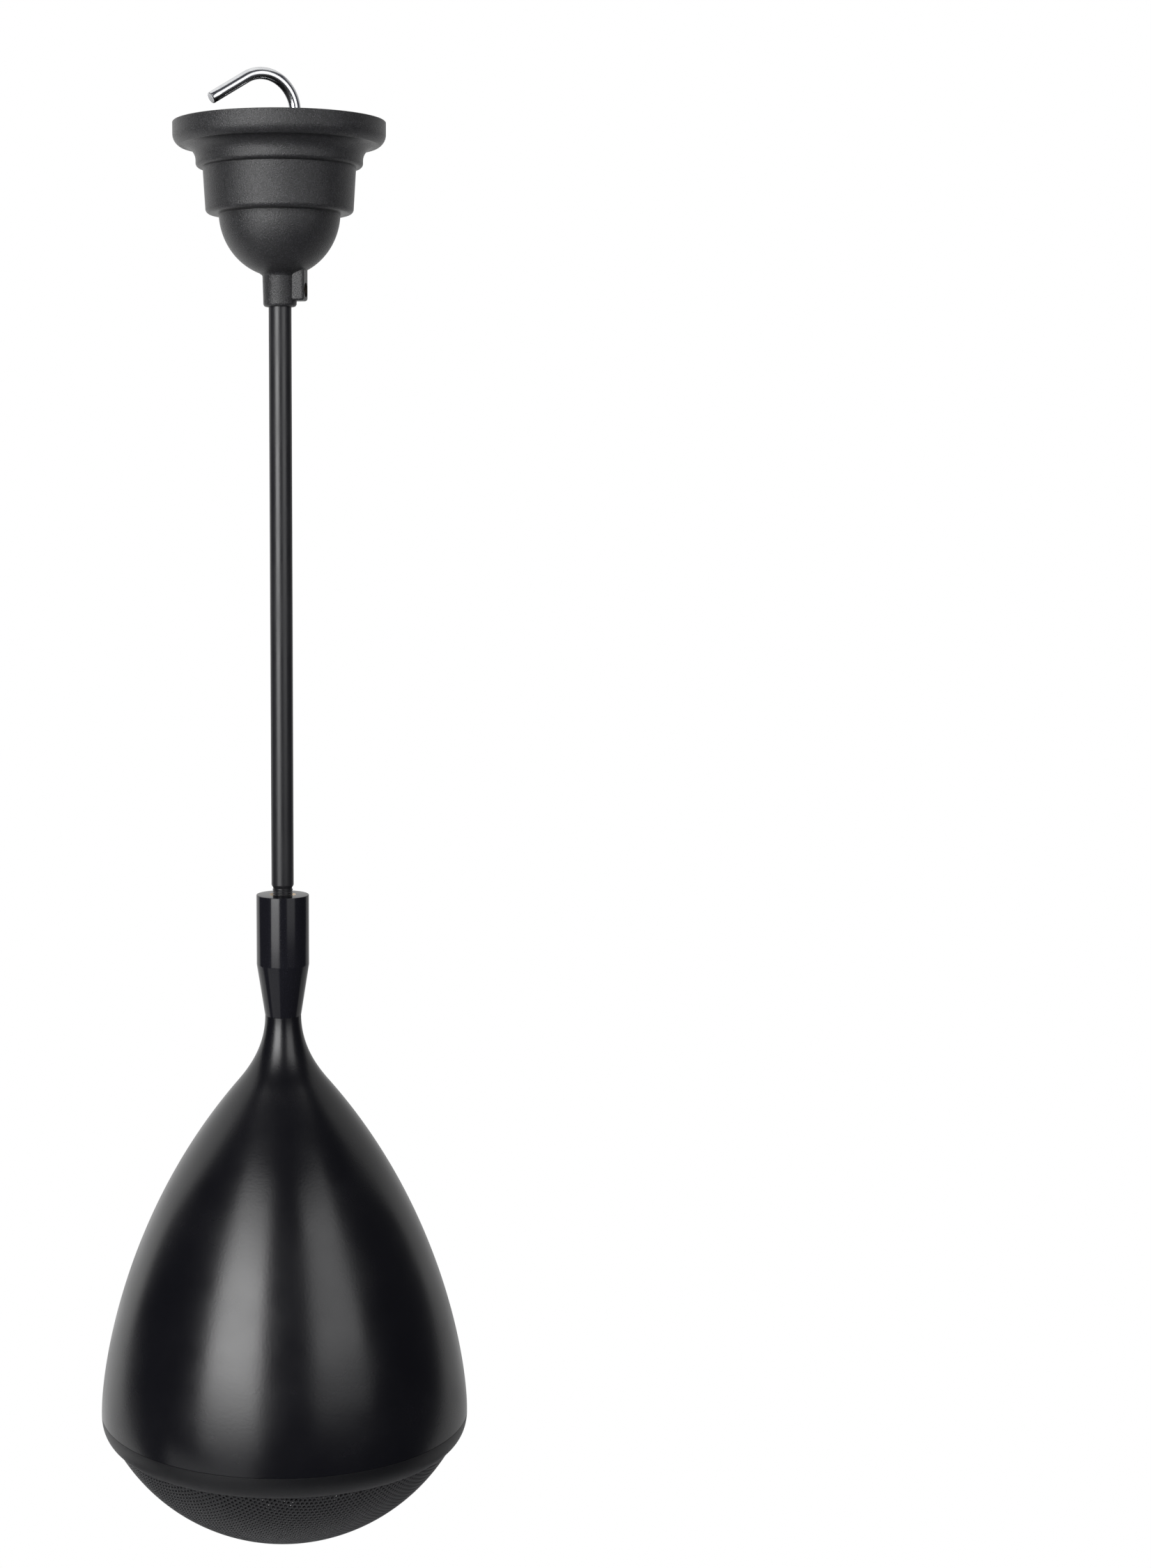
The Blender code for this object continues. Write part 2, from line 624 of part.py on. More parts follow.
def canopy_inner():
    """Outline of the inside, from the tube's hole up to the rim."""
    hole_r = TUBE_R + SLIDE_FIT
    floor = BOWL_Z - CANOPY_FLOOR
    bowl_r = BOWL_R - BOWL_WALL
    start = math.degrees(math.asin(CANOPY_FLOOR / BOWL_ROOM_H))
    line = [(hole_r, COLLAR_END), (hole_r, floor)]
    line += [(bowl_r * r, BOWL_Z + BOWL_ROOM_H * z) for r, z in arc((0, 0), 1, -start, 0, 4)]
    drum_in = DRUM_R - CANOPY_WALL
    line += [(bowl_r, DRUM_Z - DRUM_H + CANOPY_WALL), (drum_in - DRUM_TAPER, DRUM_Z - DRUM_H + CANOPY_WALL),
             (drum_in, DRUM_Z + CANOPY_WALL), (WAIST_R - CANOPY_WALL, DRUM_Z + 1.6 * CANOPY_WALL)]
    cove = (WAIST_R + COVE_R, CANOPY_TOP - RIM_H - COVE_R)
    line += arc(cove, COVE_R + CANOPY_WALL, 172, 90, 2)
    line += [(RIM_R - CANOPY_WALL, rim_edge_top()), (RIM_R - CANOPY_WALL, CANOPY_TOP)]
    return line


def rim_edge_top():
    """Height at which the rim's side begins to bend in."""
    return CANOPY_TOP - RIM_H + RIM_EDGE * math.sin(math.radians(RIM_EDGE_TURN))


def build_canopy():
    """One moulding: rim, waist, drum, bowl and collar, with the clamp boss on the collar."""
    canopy = turned("canopy", canopy_outer() + canopy_inner(), moulded_black(), STEPS)
    start = COLLAR_R - 0.8 * COLLAR_WALL
    boss = block("boss_tool", (BOSS_REACH - start, BOSS_W, BOSS_H),
                 ((BOSS_REACH + start) / 2, 0, BOSS_Z + BOSS_H / 2), moulded_black(), BOSS_EDGE)
    combine(canopy, place(boss, turn=BOSS_TURN), "UNION")
    seat = insert_seat()
    for name, radius, start in (("insert", INSERT_R + SEAT, seat), ("clamp", CLAMP_SCREW_R + SEAT, TUBE_BORE_R)):
        drill = rod(f"{name}_hole_tool", radius, start, 2 * BOSS_REACH, moulded_black(), BORE_STEPS)
        combine(canopy, lay_along_boss(drill))


def insert_seat():
    """Distance from the stem's axis to the shoulder that the insert is pressed against."""
    return BOSS_REACH - INSERT_SUNK - INSERT_L - SEAT


def lay_along_boss(obj):
    """Lay an object turned about Z along the clamp boss, so that its height runs outwards."""
    obj.matrix_world = (Matrix.Rotation(math.radians(BOSS_TURN), 4, "Z") @ Matrix.Translation((0, 0, CLAMP_Z))
                        @ Matrix.Rotation(math.radians(90), 4, "Y"))
    return obj


def build_clamp():
    """Threaded insert and the set screw that grips the tube."""
    seat = insert_seat() + SEAT
    insert = ring("clamp_insert", CLAMP_SCREW_R + SEAT, INSERT_R, seat, seat + INSERT_L, brass(), BORE_STEPS)
    lay_along_boss(insert)
    tip = TUBE_R + SLIDE_FIT
    back = tip + CLAMP_SCREW_L
    outline = [(0, tip), (CLAMP_SCREW_R - EDGE, tip), (CLAMP_SCREW_R, tip + EDGE), (CLAMP_SCREW_R, back),
               (CLAMP_SOCKET_R, back), (CLAMP_SOCKET_R, back - CLAMP_SOCKET_L), (0, back - CLAMP_SOCKET_L)]
    lay_along_boss(turned("clamp_screw", outline, bright_steel(), BORE_STEPS))


# Neck

def build_neck_connector():
    bore_r = THREAD_R + SEAT
    shoulder = CONNECTOR_TOP - THREAD_IN - SEAT
    cone_top = CONNECTOR_TOP - CONNECTOR_STRAIGHT
    outline = [(TUBE_BORE_R, shoulder), (TUBE_BORE_R, STUB_END), (STUB_R - EDGE, STUB_END),
               (STUB_R, STUB_END + EDGE), (STUB_R, NECK_Z), (NECK_R, NECK_Z), (CONNECTOR_R, cone_top),
               (CONNECTOR_R, CONNECTOR_TOP - EDGE), (CONNECTOR_R - EDGE, CONNECTOR_TOP),
               (bore_r + CONNECTOR_MOUTH, CONNECTOR_TOP), (bore_r, CONNECTOR_TOP - CONNECTOR_MOUTH),
               (bore_r, shoulder)]
    turned("neck_connector", outline, black_lacquer(), FRAME_STEPS)
    hole_r = STUB_R + SEAT
    ring("neck_washer", hole_r, WASHER_R, WASHER_Z - WASHER_T, WASHER_Z, bright_steel())
    hexagon_nut("neck_nut", NECK_NUT_FLATS, NECK_NUT_H, hole_r, NECK_NUT_Z - NECK_NUT_H, bright_steel())


# Housing

def housing_outer():
    """Outline from the neck down to the seam with the ring: a flare, then the bell."""
    lean = Vector((math.sin(math.radians(THROAT_LEAN)), -math.cos(math.radians(THROAT_LEAN))))
    turn = Vector((THROAT_R, HOUSING_TOP - THROAT_H))
    flare = bezier((NECK_R, HOUSING_TOP), (NECK_R, HOUSING_TOP - NECK_PULL),
                   turn - THROAT_PULL_UP * lean, turn, 6)
    bell = bezier(turn, turn + THROAT_PULL_DOWN * lean,
                  (HOUSING_R, SEAM_Z + SKIRT_PULL), (HOUSING_R, SEAM_Z), 11)
    return flare + bell[1:]


def housing_inner():
    """Inside of the wall, from the seat in the neck to the seam."""
    wall = inset(housing_outer(), HOUSING_WALL)
    below = [(r, z) for r, z in wall if z < SEAT_Z - HOUSING_WALL]
    seat_r = at_height(wall, SEAT_Z)
    return [(seat_r, SEAT_Z)] + below[:-1] + [(HOUSING_R - HOUSING_WALL, SEAM_Z)]


def pillar(index):
    """Column that holds a baffle screw, run out past the wall so that it stands on it."""
    bm = bmesh.new()
    outline = arc((RIM_SCREW_R, 0), PILLAR_R, 90, 270, 8) + [(HOUSING_R, -PILLAR_R), (HOUSING_R, PILLAR_R)]
    base = SEAM_Z - 2 * HOUSING_WALL
    face = bm.faces.new([bm.verts.new((x, y, base)) for x, y in outline])
    out = bmesh.ops.extrude_face_region(bm, geom=[face])["geom"]
    height = SEAM_Z + PILLAR_H - base
    bmesh.ops.translate(bm, verts=[v for v in out if isinstance(v, bmesh.types.BMVert)], vec=(0, 0, height))
    return place(new_object(f"pillar_tool_{index}", bm, black_lacquer()), turn=rim_screw_turn(index))


def rim_screw_turn(index):
    """Angle of a baffle screw, halfway between two of the driver's."""
    return SCREW_TURN + 360 / SCREW_COUNT * (index + 0.5)


def build_housing():
    """Bell with a thick neck. The core that hollows it leaves four pillars standing inside."""
    outer = housing_outer()
    housing = turned("housing", [(0, HOUSING_TOP)] + outer + [(0, SEAM_Z)], black_lacquer(), STEPS)
    inner = housing_inner()
    hole_r = STUB_R + SEAT
    below = SEAM_Z - HOUSING_WALL
    core = turned("housing_core_tool", [(0, HOUSING_TOP + HOUSING_WALL), (hole_r, HOUSING_TOP + HOUSING_WALL),
                                        (hole_r, SEAT_Z)] + inner
                  + [(HOUSING_R - HOUSING_WALL, below), (0, below)], black_lacquer(), STEPS)
    for index in range(SCREW_COUNT):
        combine(core, pillar(index))
    combine(housing, core)
    for index in range(SCREW_COUNT):
        hole = rod(f"pillar_hole_tool_{index}", SCREW_R + SCREW_HOLE_FIT, below, SEAM_Z + BAFFLE_SCREW_L,
                   black_lacquer())
        combine(housing, place(hole, (RIM_SCREW_R, 0, 0), rim_screw_turn(index)))


def build_lining():
    """Felt band against the inside of the wall."""
    wall = inset(housing_inner(), SEAT)
    top = HOUSING_TOP - LINING_TOP
    low = SEAM_Z + PILLAR_H + LINING_FOOT
    band = [(r, z) for r, z in wall if top > z > low]
    band = [(at_height(wall, top), top)] + band + [(at_height(wall, low), low)]
    back = inset(band, LINING_T)
    turned("damping_lining", band + back[::-1], felt())


# Baffle ring and grille

def screw_holes(kind, radius, count, turn, hole_r):
    """Cutters for a circle of screw holes, to be shared by the pieces that the screws go through."""
    tools = []
    for index in range(count):
        tool = rod(f"{kind}_hole_tool_{index}", hole_r, FLANGE_FRONT - PLATE_T, RING_TOP + PLATE_T,
                   dark_steel())
        tools.append(place(tool, (radius, 0, 0), turn(index)))
    return tools


def driver_screw_turn(index):
    return SCREW_TURN + 360 / SCREW_COUNT * index


def build_baffle_ring(driver_holes, rim_holes):
    """Flat plate that the driver hangs from, with the ring that hides the grille's edge."""
    curve = bezier((HOUSING_R, RING_TOP), (HOUSING_R, RING_TOP - RING_CURVE_TOP),
                   (RING_LIP_R + RING_CURVE_LOW * 0.8, LIP_Z + RING_CURVE_LOW * 0.6), (RING_LIP_R, LIP_Z), 6)
    inner = RING_LIP_R - RING_LIP_W
    outline = curve + [(inner, LIP_Z), (inner, PLATE_Z), (CUTOUT_R, PLATE_Z), (CUTOUT_R, RING_TOP)]
    baffle = turned("baffle_ring", outline, moulded_black(), STEPS)
    for tool in driver_holes + rim_holes:
        combine(baffle, tool)
    for index in range(SCREW_COUNT):
        screw = pan_screw(f"baffle_screw_{index + 1}", PLATE_Z - SEAT, BAFFLE_SCREW_L)
        place(screw, (RIM_SCREW_R, 0, 0), rim_screw_turn(index))


def dome_sphere():
    """Radius and centre height of the grille's outer sphere."""
    radius = (SKIRT_R ** 2 + GRILLE_DEPTH ** 2) / (2 * GRILLE_DEPTH)
    return radius, LIP_Z - GRILLE_DEPTH + radius


def on_dome(x, y):
    """Carry a point of the flat sheet onto the sphere, keeping areas."""
    radius, centre = dome_sphere()
    flat = math.hypot(x, y)
    if flat == 0:
        return (0, 0, centre - radius)
    polar = 2 * math.asin(min(1.0, flat / (2 * radius)))
    across = radius * math.sin(polar) / flat
    return (x * across, y * across, centre - radius * math.cos(polar))


def sheet_radius():
    """Size of the flat disc that covers the dome."""
    radius, centre = dome_sphere()
    return 2 * radius * math.sin(math.acos((centre - LIP_Z) / radius) / 2)


def perforated_disc():
    """Flat triangles of the sheet round its holes, which stand in staggered rows."""
    edge = sheet_radius()
    limit = edge - GRILLE_BORDER - GRILLE_HOLE_R
    points = [Vector((edge * math.cos(math.tau * i / STEPS), edge * math.sin(math.tau * i / STEPS)))
              for i in range(STEPS)]
    loops = [list(range(STEPS))]
    rows = int(edge / GRILLE_PITCH) * 2
    for row in range(-rows, rows + 1):
        for column in range(-rows, rows + 1):
            x = GRILLE_PITCH * (column + 0.5 * (row % 2))
            y = GRILLE_PITCH * math.sqrt(0.75) * row
            if math.hypot(x, y) > limit:
                continue
            loops.append(list(range(len(points), len(points) + 6)))
            points += [Vector((x + GRILLE_HOLE_R * math.cos(math.radians(60 * i + 30)),
                               y + GRILLE_HOLE_R * math.sin(math.radians(60 * i + 30)))) for i in range(6)]
    verts, _, faces, _, _, origin = delaunay_2d_cdt(points, [], loops, 1, 1e-7)
    return verts, [face for face, source in zip(faces, origin) if list(source) == [0]]


def build_grille():
    """Perforated dome with a straight skirt that stands inside the ring."""
    flat, faces = perforated_disc()
    bm = bmesh.new()
    verts = [bm.verts.new(on_dome(*point)) for point in flat]
    for face in faces:
        bm.faces.new([verts[i] for i in face])
    bmesh.ops.delete(bm, geom=[v for v in bm.verts if not v.link_faces], context="VERTS")
    rim = [e for e in bm.edges if e.is_boundary and all(v.co.z > LIP_Z - 1e-5 for v in e.verts)]
    skirt = bmesh.ops.extrude_edge_only(bm, edges=rim)["geom"]
    for vert in (v for v in skirt if isinstance(v, bmesh.types.BMVert)):
        vert.co.z = SKIRT_TOP
    grille = new_object("grille", bm, dark_steel(), 50)
    if grille.data.polygons[0].normal.z > 0:
        grille.data.flip_normals()
    sheet = grille.modifiers.new("sheet", "SOLIDIFY")
    sheet.thickness = GRILLE_T
    sheet.offset = -1
    sheet.use_even_offset = False


# Driver

def build_driver_frame(holes):
    """Gasket and basket, with the windows between the basket's arms."""
    gasket = ring("driver_gasket", CUTOUT_R + SEAT, FLANGE_R, GASKET_Z - GASKET_T, GASKET_Z,
                  soft_rubber(), FRAME_STEPS)
    wall = BASKET_WALL
    seat_in = TOP_PLATE_R
    outline = [(FLANGE_R, FLANGE_Z), (FLANGE_R, FLANGE_FRONT), (BASKET_MOUTH_R, FLANGE_FRONT),
               (BASKET_MOUTH_R - wall, FLANGE_Z + wall), (SPIDER_SEAT_R, SPIDER_SEAT_Z), (seat_in, SPIDER_SEAT_Z),
               (seat_in, BASKET_BACK - wall), (POLE_R + GAP_W + wall, BASKET_BACK - wall),
               (POLE_R + GAP_W + wall, BASKET_BACK), (seat_in + wall, BASKET_BACK),
               (seat_in + wall, SPIDER_SEAT_Z + wall), (SPIDER_SEAT_R + wall, SPIDER_SEAT_Z + wall),
               (SHOULDER_R, FLANGE_Z + 2 * wall), (SHOULDER_R, FLANGE_Z)]
    basket = turned("basket", outline, dark_steel(), FRAME_STEPS)
    low = FLANGE_Z + 3.5 * wall
    high = SPIDER_SEAT_Z - 2 * wall
    window_w = 2 * SPIDER_SEAT_R * math.sin(math.pi / WINDOW_COUNT) - ARM_W
    for index in range(WINDOW_COUNT):
        window = block(f"window_tool_{index}", (FLANGE_R - seat_in, window_w, high - low),
                       ((FLANGE_R + seat_in) / 2, 0, (low + high) / 2), dark_steel())
        combine(basket, place(window, turn=360 / WINDOW_COUNT * index))
    for tool in holes:
        combine(gasket, tool)
        combine(basket, tool)
    for index in range(SCREW_COUNT):
        screw = pan_screw(f"driver_screw_{index + 1}", FLANGE_FRONT - SEAT, DRIVER_SCREW_L)
        place(screw, (DRIVER_SCREW_R, 0, 0), driver_screw_turn(index))


def build_motor():
    """Top plate, magnet and the yoke whose pole stands in the coil."""
    hole = POLE_R + GAP_W
    ring("top_plate", hole, TOP_PLATE_R, TOP_PLATE_Z, TOP_PLATE_Z + TOP_PLATE_T, bright_steel())
    ring("magnet", MAGNET_BORE_R, MAGNET_R, MAGNET_Z, MAGNET_Z + MAGNET_T, ferrite())
    turned("pole_yoke", [(0, TOP_PLATE_Z), (POLE_R, TOP_PLATE_Z), (POLE_R, YOKE_Z), (TOP_PLATE_R, YOKE_Z),
                         (TOP_PLATE_R, YOKE_Z + YOKE_T), (0, YOKE_Z + YOKE_T)], bright_steel())


def cone_line():
    """Inside of the cone, from its small end at the former to its rim, a little bulged."""
    small = FORMER_OUT + SEAT + CONE_T
    lean = Vector((CONE_R - small, -CONE_H))
    out = Vector((lean.y, -lean.x)).normalized() * CONE_BULGE
    start = Vector((small, CONE_BACK))
    return bezier(start, start + lean / 3 - out, start + lean * 2 / 3 - out, start + lean, 4)


def build_moving_system():
    """Cone, former and coil, which travel together, with the spider and surround that hold them."""
    line = cone_line()
    turned("cone", line + inset(line, CONE_T)[::-1], pressed_paper())
    low = CONE_BACK - FORMER_FRONT
    ring("coil_former", FORMER_R, FORMER_OUT, low, FORMER_TOP, brass())
    middle = TOP_PLATE_Z + TOP_PLATE_T / 2
    ring("voice_coil", FORMER_OUT + SEAT, FORMER_OUT + SEAT + COIL_T, middle - COIL_H / 2,
         min(middle + COIL_H / 2, FORMER_TOP), copper())
    build_spider()
    build_surround(line[-1])


def build_spider():
    """Corrugated disc between the former and the basket's inner seat."""
    top = SPIDER_SEAT_Z - SEAT
    inner = FORMER_OUT + SEAT
    edge = 2 * SPIDER_T
    first = inner + 2 * edge
    last = TOP_PLATE_R - edge
    line = [(inner, top), (first, top)]
    for i in range(WAVE_COUNT):
        z = top + SPIDER_WAVE_H * (1 if i % 2 else -1)
        line.append((first + (last - first) * (i + 0.5) / WAVE_COUNT, z))
    line += [(last, top), (SPIDER_SEAT_R - edge, top)]
    under = [(r, z - SPIDER_T) for r, z in line]
    turned("spider", line + under[::-1], woven_cloth())


def build_surround(rim):
    """Half-round roll between the cone's rim and the basket's flange."""
    face = FLANGE_FRONT - SEAT
    inner = CONE_R - SURROUND_GLUE
    start = CONE_R + ROLL_GAP
    end = BASKET_MOUTH_R - ROLL_EDGE
    roll = (end - start) / 2
    line = [(inner, face)] + arc(((start + end) / 2, face), roll, 180, 360, 6) + [(end + SURROUND_LIP, face)]
    under = [(inner, face - SURROUND_T)]
    under += arc(((start + end) / 2, face), roll + SURROUND_T, 174, 366, 6)
    under = [(r, min(z, face - SURROUND_T)) for r, z in under] + [(end + SURROUND_LIP, face - SURROUND_T)]
    turned("surround", line + under[::-1], soft_rubber())


def build_tweeter():
    """Small dome unit on a post that stands on the pole."""
    back = TWEETER_Z + TWEETER_H
    rim = TWEETER_R
    cup_r = TWEETER_DOME_R + SEAT
    floor = TWEETER_Z + TWEETER_CUP_H
    turned("tweeter_body", [(0, back), (0, floor), (cup_r, floor), (cup_r, TWEETER_Z + TWEETER_LIP),
                            (rim - TWEETER_BEVEL, TWEETER_Z), (rim, TWEETER_Z + TWEETER_BEVEL_H),
                            (rim, back - TWEETER_BACK_H), (rim - TWEETER_BACK, back)], moulded_black())
    height = TWEETER_DOME_H
    radius = (TWEETER_DOME_R ** 2 + height ** 2) / (2 * height)
    spread = math.degrees(math.asin(TWEETER_DOME_R / radius))
    centre = (0, TWEETER_Z + TWEETER_DOME_SUNK + radius - height)
    skin = arc(centre, radius, -90, -90 + spread, 3)
    inside = arc(centre, radius - TWEETER_SHELL_T, -90 + spread, -90, 3)
    turned("tweeter_dome", skin + inside, woven_cloth())
    motor = floor - SEAT
    rod("tweeter_motor", TWEETER_DOME_R - TWEETER_MOTOR_IN, motor - TWEETER_MOTOR_H, motor,
        bright_steel(), SMALL_STEPS)
    rod("tweeter_post", TWEETER_POST_R, back + SEAT, TOP_PLATE_Z - SEAT, brass(), SMALL_STEPS)


# Parts inside the housing

def build_strap():
    """Bent strap clamped under the neck, with a foot on each side."""
    top = STRAP_Z
    low = FOOT_Z
    foot = LEG_OUT + STRAP_FOOT
    half = [(LEG_OUT, top), (LEG_OUT, low + STRAP_T), (foot, low + STRAP_T), (foot, low), (LEG_X, low),
            (LEG_X, top - STRAP_T)]
    outline = half + [(-x, z) for x, z in half[::-1]]
    strap = prism("transformer_strap", outline, STRAP_W, bright_steel())
    combine(strap, rod("strap_hole_tool", STUB_R + SEAT, top - 2 * STRAP_T, top + STRAP_T, bright_steel(),
                       SMALL_STEPS))
    frame = build_transformer()
    for index, side in enumerate((-1, 1)):
        tool = rod(f"ear_hole_tool_{index}", EAR_SCREW_R + SCREW_HOLE_FIT, FRAME_TOP - 2 * STRAP_T,
                   low + 2 * STRAP_T, bright_steel())
        tool.location.x = side * EAR_X
        combine(strap, tool)
        combine(frame, tool)
        screw = pan_screw(f"transformer_screw_{index + 1}", 0, EAR_SCREW_L, EAR_SCREW_R,
                          2 * EAR_SCREW_R, EAR_SCREW_R)
        screw.matrix_world = (Matrix.Translation((side * EAR_X, 0, low + STRAP_T + SEAT))
                              @ Matrix.Rotation(math.pi, 4, "X"))


def build_transformer():
    """Laminated core with its winding, held up by a thin channel with two ears."""
    core = block("transformer_core", (CORE_W, CORE_D, CORE_H), (0, 0, CORE_TOP - CORE_H / 2), dark_steel())
    leg = CORE_W / 4 - CORE_WINDOW_W / 2
    middle = CORE_TOP - CORE_H / 2
    for index, side in enumerate((-1, 1)):
        hole = block(f"core_window_tool_{index}", (CORE_WINDOW_W, 2 * CORE_D, CORE_WINDOW_H),
                     (side * (leg + CORE_WINDOW_W / 2), 0, middle), dark_steel())
        combine(core, hole)
    winding = block("transformer_winding", (2 * (leg + CORE_WINDOW_W - SEAT), CORE_D + 2 * COIL_OUT,
                                            CORE_WINDOW_H - 2 * SEAT), (0, 0, middle), woven_cloth())
    combine(winding, block("winding_tool", (2 * (leg + SEAT), CORE_D + 2 * SEAT, 2 * CORE_WINDOW_H),
                           (0, 0, middle), woven_cloth()))
    side = CORE_W / 2 + SEAT
    low = CORE_TOP - FRAME_SIDE
    ear = LEG_OUT + STRAP_FOOT
    half = [(ear, FRAME_TOP), (ear, FRAME_TOP - FRAME_T), (side + FRAME_T, FRAME_TOP - FRAME_T),
            (side + FRAME_T, low), (side, low), (side, FRAME_TOP - FRAME_T)]
    return prism("transformer_frame", half + [(-x, z) for x, z in half[::-1]],
                 CORE_D - 2 * FRAME_INSET, bright_steel())


def build_crossover():
    """Upright board on the strap's leg, with a capacitor and an inductor."""
    face = LEG_OUT + BOARD_OFF
    top = STRAP_Z - BOARD_DROP
    block("crossover_board", (BOARD_T, BOARD_W, BOARD_H), (face + BOARD_T / 2, 0, top - BOARD_H / 2),
          board_green())
    outer = face + BOARD_T + SEAT
    inductor = ring("crossover_inductor", INDUCTOR_HOLE_R, INDUCTOR_R, 0, INDUCTOR_H, copper())
    outward = Matrix.Rotation(math.pi / 2, 4, "Y")
    inductor.matrix_world = Matrix.Translation((outer, 0, top - INDUCTOR_R)) @ outward
    capacitor = rod("crossover_capacitor", CAPACITOR_R, -CAPACITOR_L / 2, CAPACITOR_L / 2,
                    moulded_black(), SMALL_STEPS)
    low = top - BOARD_H + CAPACITOR_R
    capacitor.matrix_world = (Matrix.Translation((outer + CAPACITOR_R, 0, low))
                              @ Matrix.Rotation(math.pi / 2, 4, "X"))
    for index in range(2):
        z = top - (0.5 * index + 0.25) * BOARD_H
        spacer = rod(f"board_spacer_{index + 1}", SPACER_R, LEG_OUT + SEAT, face - SEAT, moulded_black())
        spacer.matrix_world = Matrix.Translation((0, 0, z)) @ outward


def build_terminals():
    """Two-way terminal block on the strap's other leg."""
    centre = (-LEG_OUT - SEAT - TERMINAL_D / 2, 0, STRAP_Z - TERMINAL_DROP - TERMINAL_H / 2)
    body = block("terminal_block", (TERMINAL_D, TERMINAL_W, TERMINAL_H), centre, moulded_black())
    for index, side in enumerate((-1, 1)):
        y = side * TERMINAL_W / 4
        middle = Matrix.Translation((centre[0], y, centre[2]))
        outward = middle @ Matrix.Rotation(-math.pi / 2, 4, "Y")
        wire = rod(f"terminal_wire_tool_{index}", WIRE_HOLE_R, -TERMINAL_H, TERMINAL_H, moulded_black(),
                   BORE_STEPS)
        wire.matrix_world = middle
        head = TERMINAL_D / 2 - SEAT
        screw_hole = rod(f"terminal_screw_tool_{index}", TERMINAL_SCREW_R + SEAT, head - TERMINAL_SCREW_L - SEAT,
                         TERMINAL_D, moulded_black(), BORE_STEPS)
        screw_hole.matrix_world = outward
        combine(combine(body, wire), screw_hole)
        screw = rod(f"terminal_screw_{index + 1}", TERMINAL_SCREW_R, head - TERMINAL_SCREW_L, head, brass(),
                    BORE_STEPS)
        screw.matrix_world = outward


def main():
    clear_scene()
    build_hook()
    build_stem_cap()
    build_stem_tube()
    build_cable_grommet()
    build_canopy()
    build_clamp()
    build_neck_connector()
    build_housing()
    build_lining()
    hole_r = SCREW_R + SCREW_HOLE_FIT
    driver_holes = screw_holes("driver", DRIVER_SCREW_R, SCREW_COUNT, driver_screw_turn, hole_r)
    rim_holes = screw_holes("rim", RIM_SCREW_R, SCREW_COUNT, rim_screw_turn, hole_r)
    build_baffle_ring(driver_holes, rim_holes)
    build_grille()
    build_driver_frame(driver_holes)
    build_motor()
    build_moving_system()
    build_tweeter()
    build_strap()
    build_crossover()
    build_terminals()


main()
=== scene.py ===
"""Pendant loudspeaker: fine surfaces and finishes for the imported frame, and the studio it hangs in.

Metres, +Z up. The stem's axis is Z. Places come from the frame's boxes, and the sizes named here
are those that a box doesn't give.
"""
import json
from math import acos, asin, atan2, cos, degrees, hypot, pi, radians, remainder, sin, sqrt, tan, tau

import bmesh
import bpy
from mathutils import Matrix, Vector
from mathutils.geometry import delaunay_2d_cdt
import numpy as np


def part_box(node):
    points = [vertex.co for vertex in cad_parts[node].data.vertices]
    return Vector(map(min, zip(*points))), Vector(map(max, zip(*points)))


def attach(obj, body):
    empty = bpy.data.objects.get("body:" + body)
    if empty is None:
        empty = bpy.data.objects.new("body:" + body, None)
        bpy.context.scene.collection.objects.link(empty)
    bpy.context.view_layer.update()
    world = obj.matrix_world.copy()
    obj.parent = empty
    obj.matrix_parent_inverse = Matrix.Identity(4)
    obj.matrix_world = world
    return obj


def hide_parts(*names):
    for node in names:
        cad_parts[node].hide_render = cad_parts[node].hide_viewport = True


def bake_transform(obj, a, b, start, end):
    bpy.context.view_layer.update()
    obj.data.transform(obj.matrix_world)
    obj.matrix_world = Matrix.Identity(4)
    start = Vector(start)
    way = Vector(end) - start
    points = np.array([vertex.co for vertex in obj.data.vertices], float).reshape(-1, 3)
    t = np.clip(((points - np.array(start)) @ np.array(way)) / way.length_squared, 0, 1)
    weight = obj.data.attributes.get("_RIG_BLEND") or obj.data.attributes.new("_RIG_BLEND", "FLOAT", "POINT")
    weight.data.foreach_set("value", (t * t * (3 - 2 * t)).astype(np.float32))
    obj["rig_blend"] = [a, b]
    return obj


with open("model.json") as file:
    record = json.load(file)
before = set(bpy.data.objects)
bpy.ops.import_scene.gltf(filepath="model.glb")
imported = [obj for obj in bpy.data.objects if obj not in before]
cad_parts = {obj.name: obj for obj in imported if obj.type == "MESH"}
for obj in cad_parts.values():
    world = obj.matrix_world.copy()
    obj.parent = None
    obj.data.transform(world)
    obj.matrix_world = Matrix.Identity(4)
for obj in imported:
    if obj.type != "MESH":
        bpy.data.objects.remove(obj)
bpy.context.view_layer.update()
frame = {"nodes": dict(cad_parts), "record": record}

# Facets
ROUND = 192              # round the housing, the ring and the canopy
SMALL_ROUND = 96         # round the stem and the driver's pieces
TINY_ROUND = 48          # round screws and bushes
HOLE_ROUND = 24          # round screw holes
NOTHING = 1e-7

# Fits, the same as in the solids
SEAT = 0.0003
SLIDE_FIT = 0.0003
BREAK = 0.0003           # taken off sharp edges
TOUCH = 0.0002           # softens an edge that fits against another piece


def span(node, axis=2):
    """Lowest and highest value of a node along an axis."""
    lowest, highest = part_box(node)
    return lowest[axis], highest[axis]


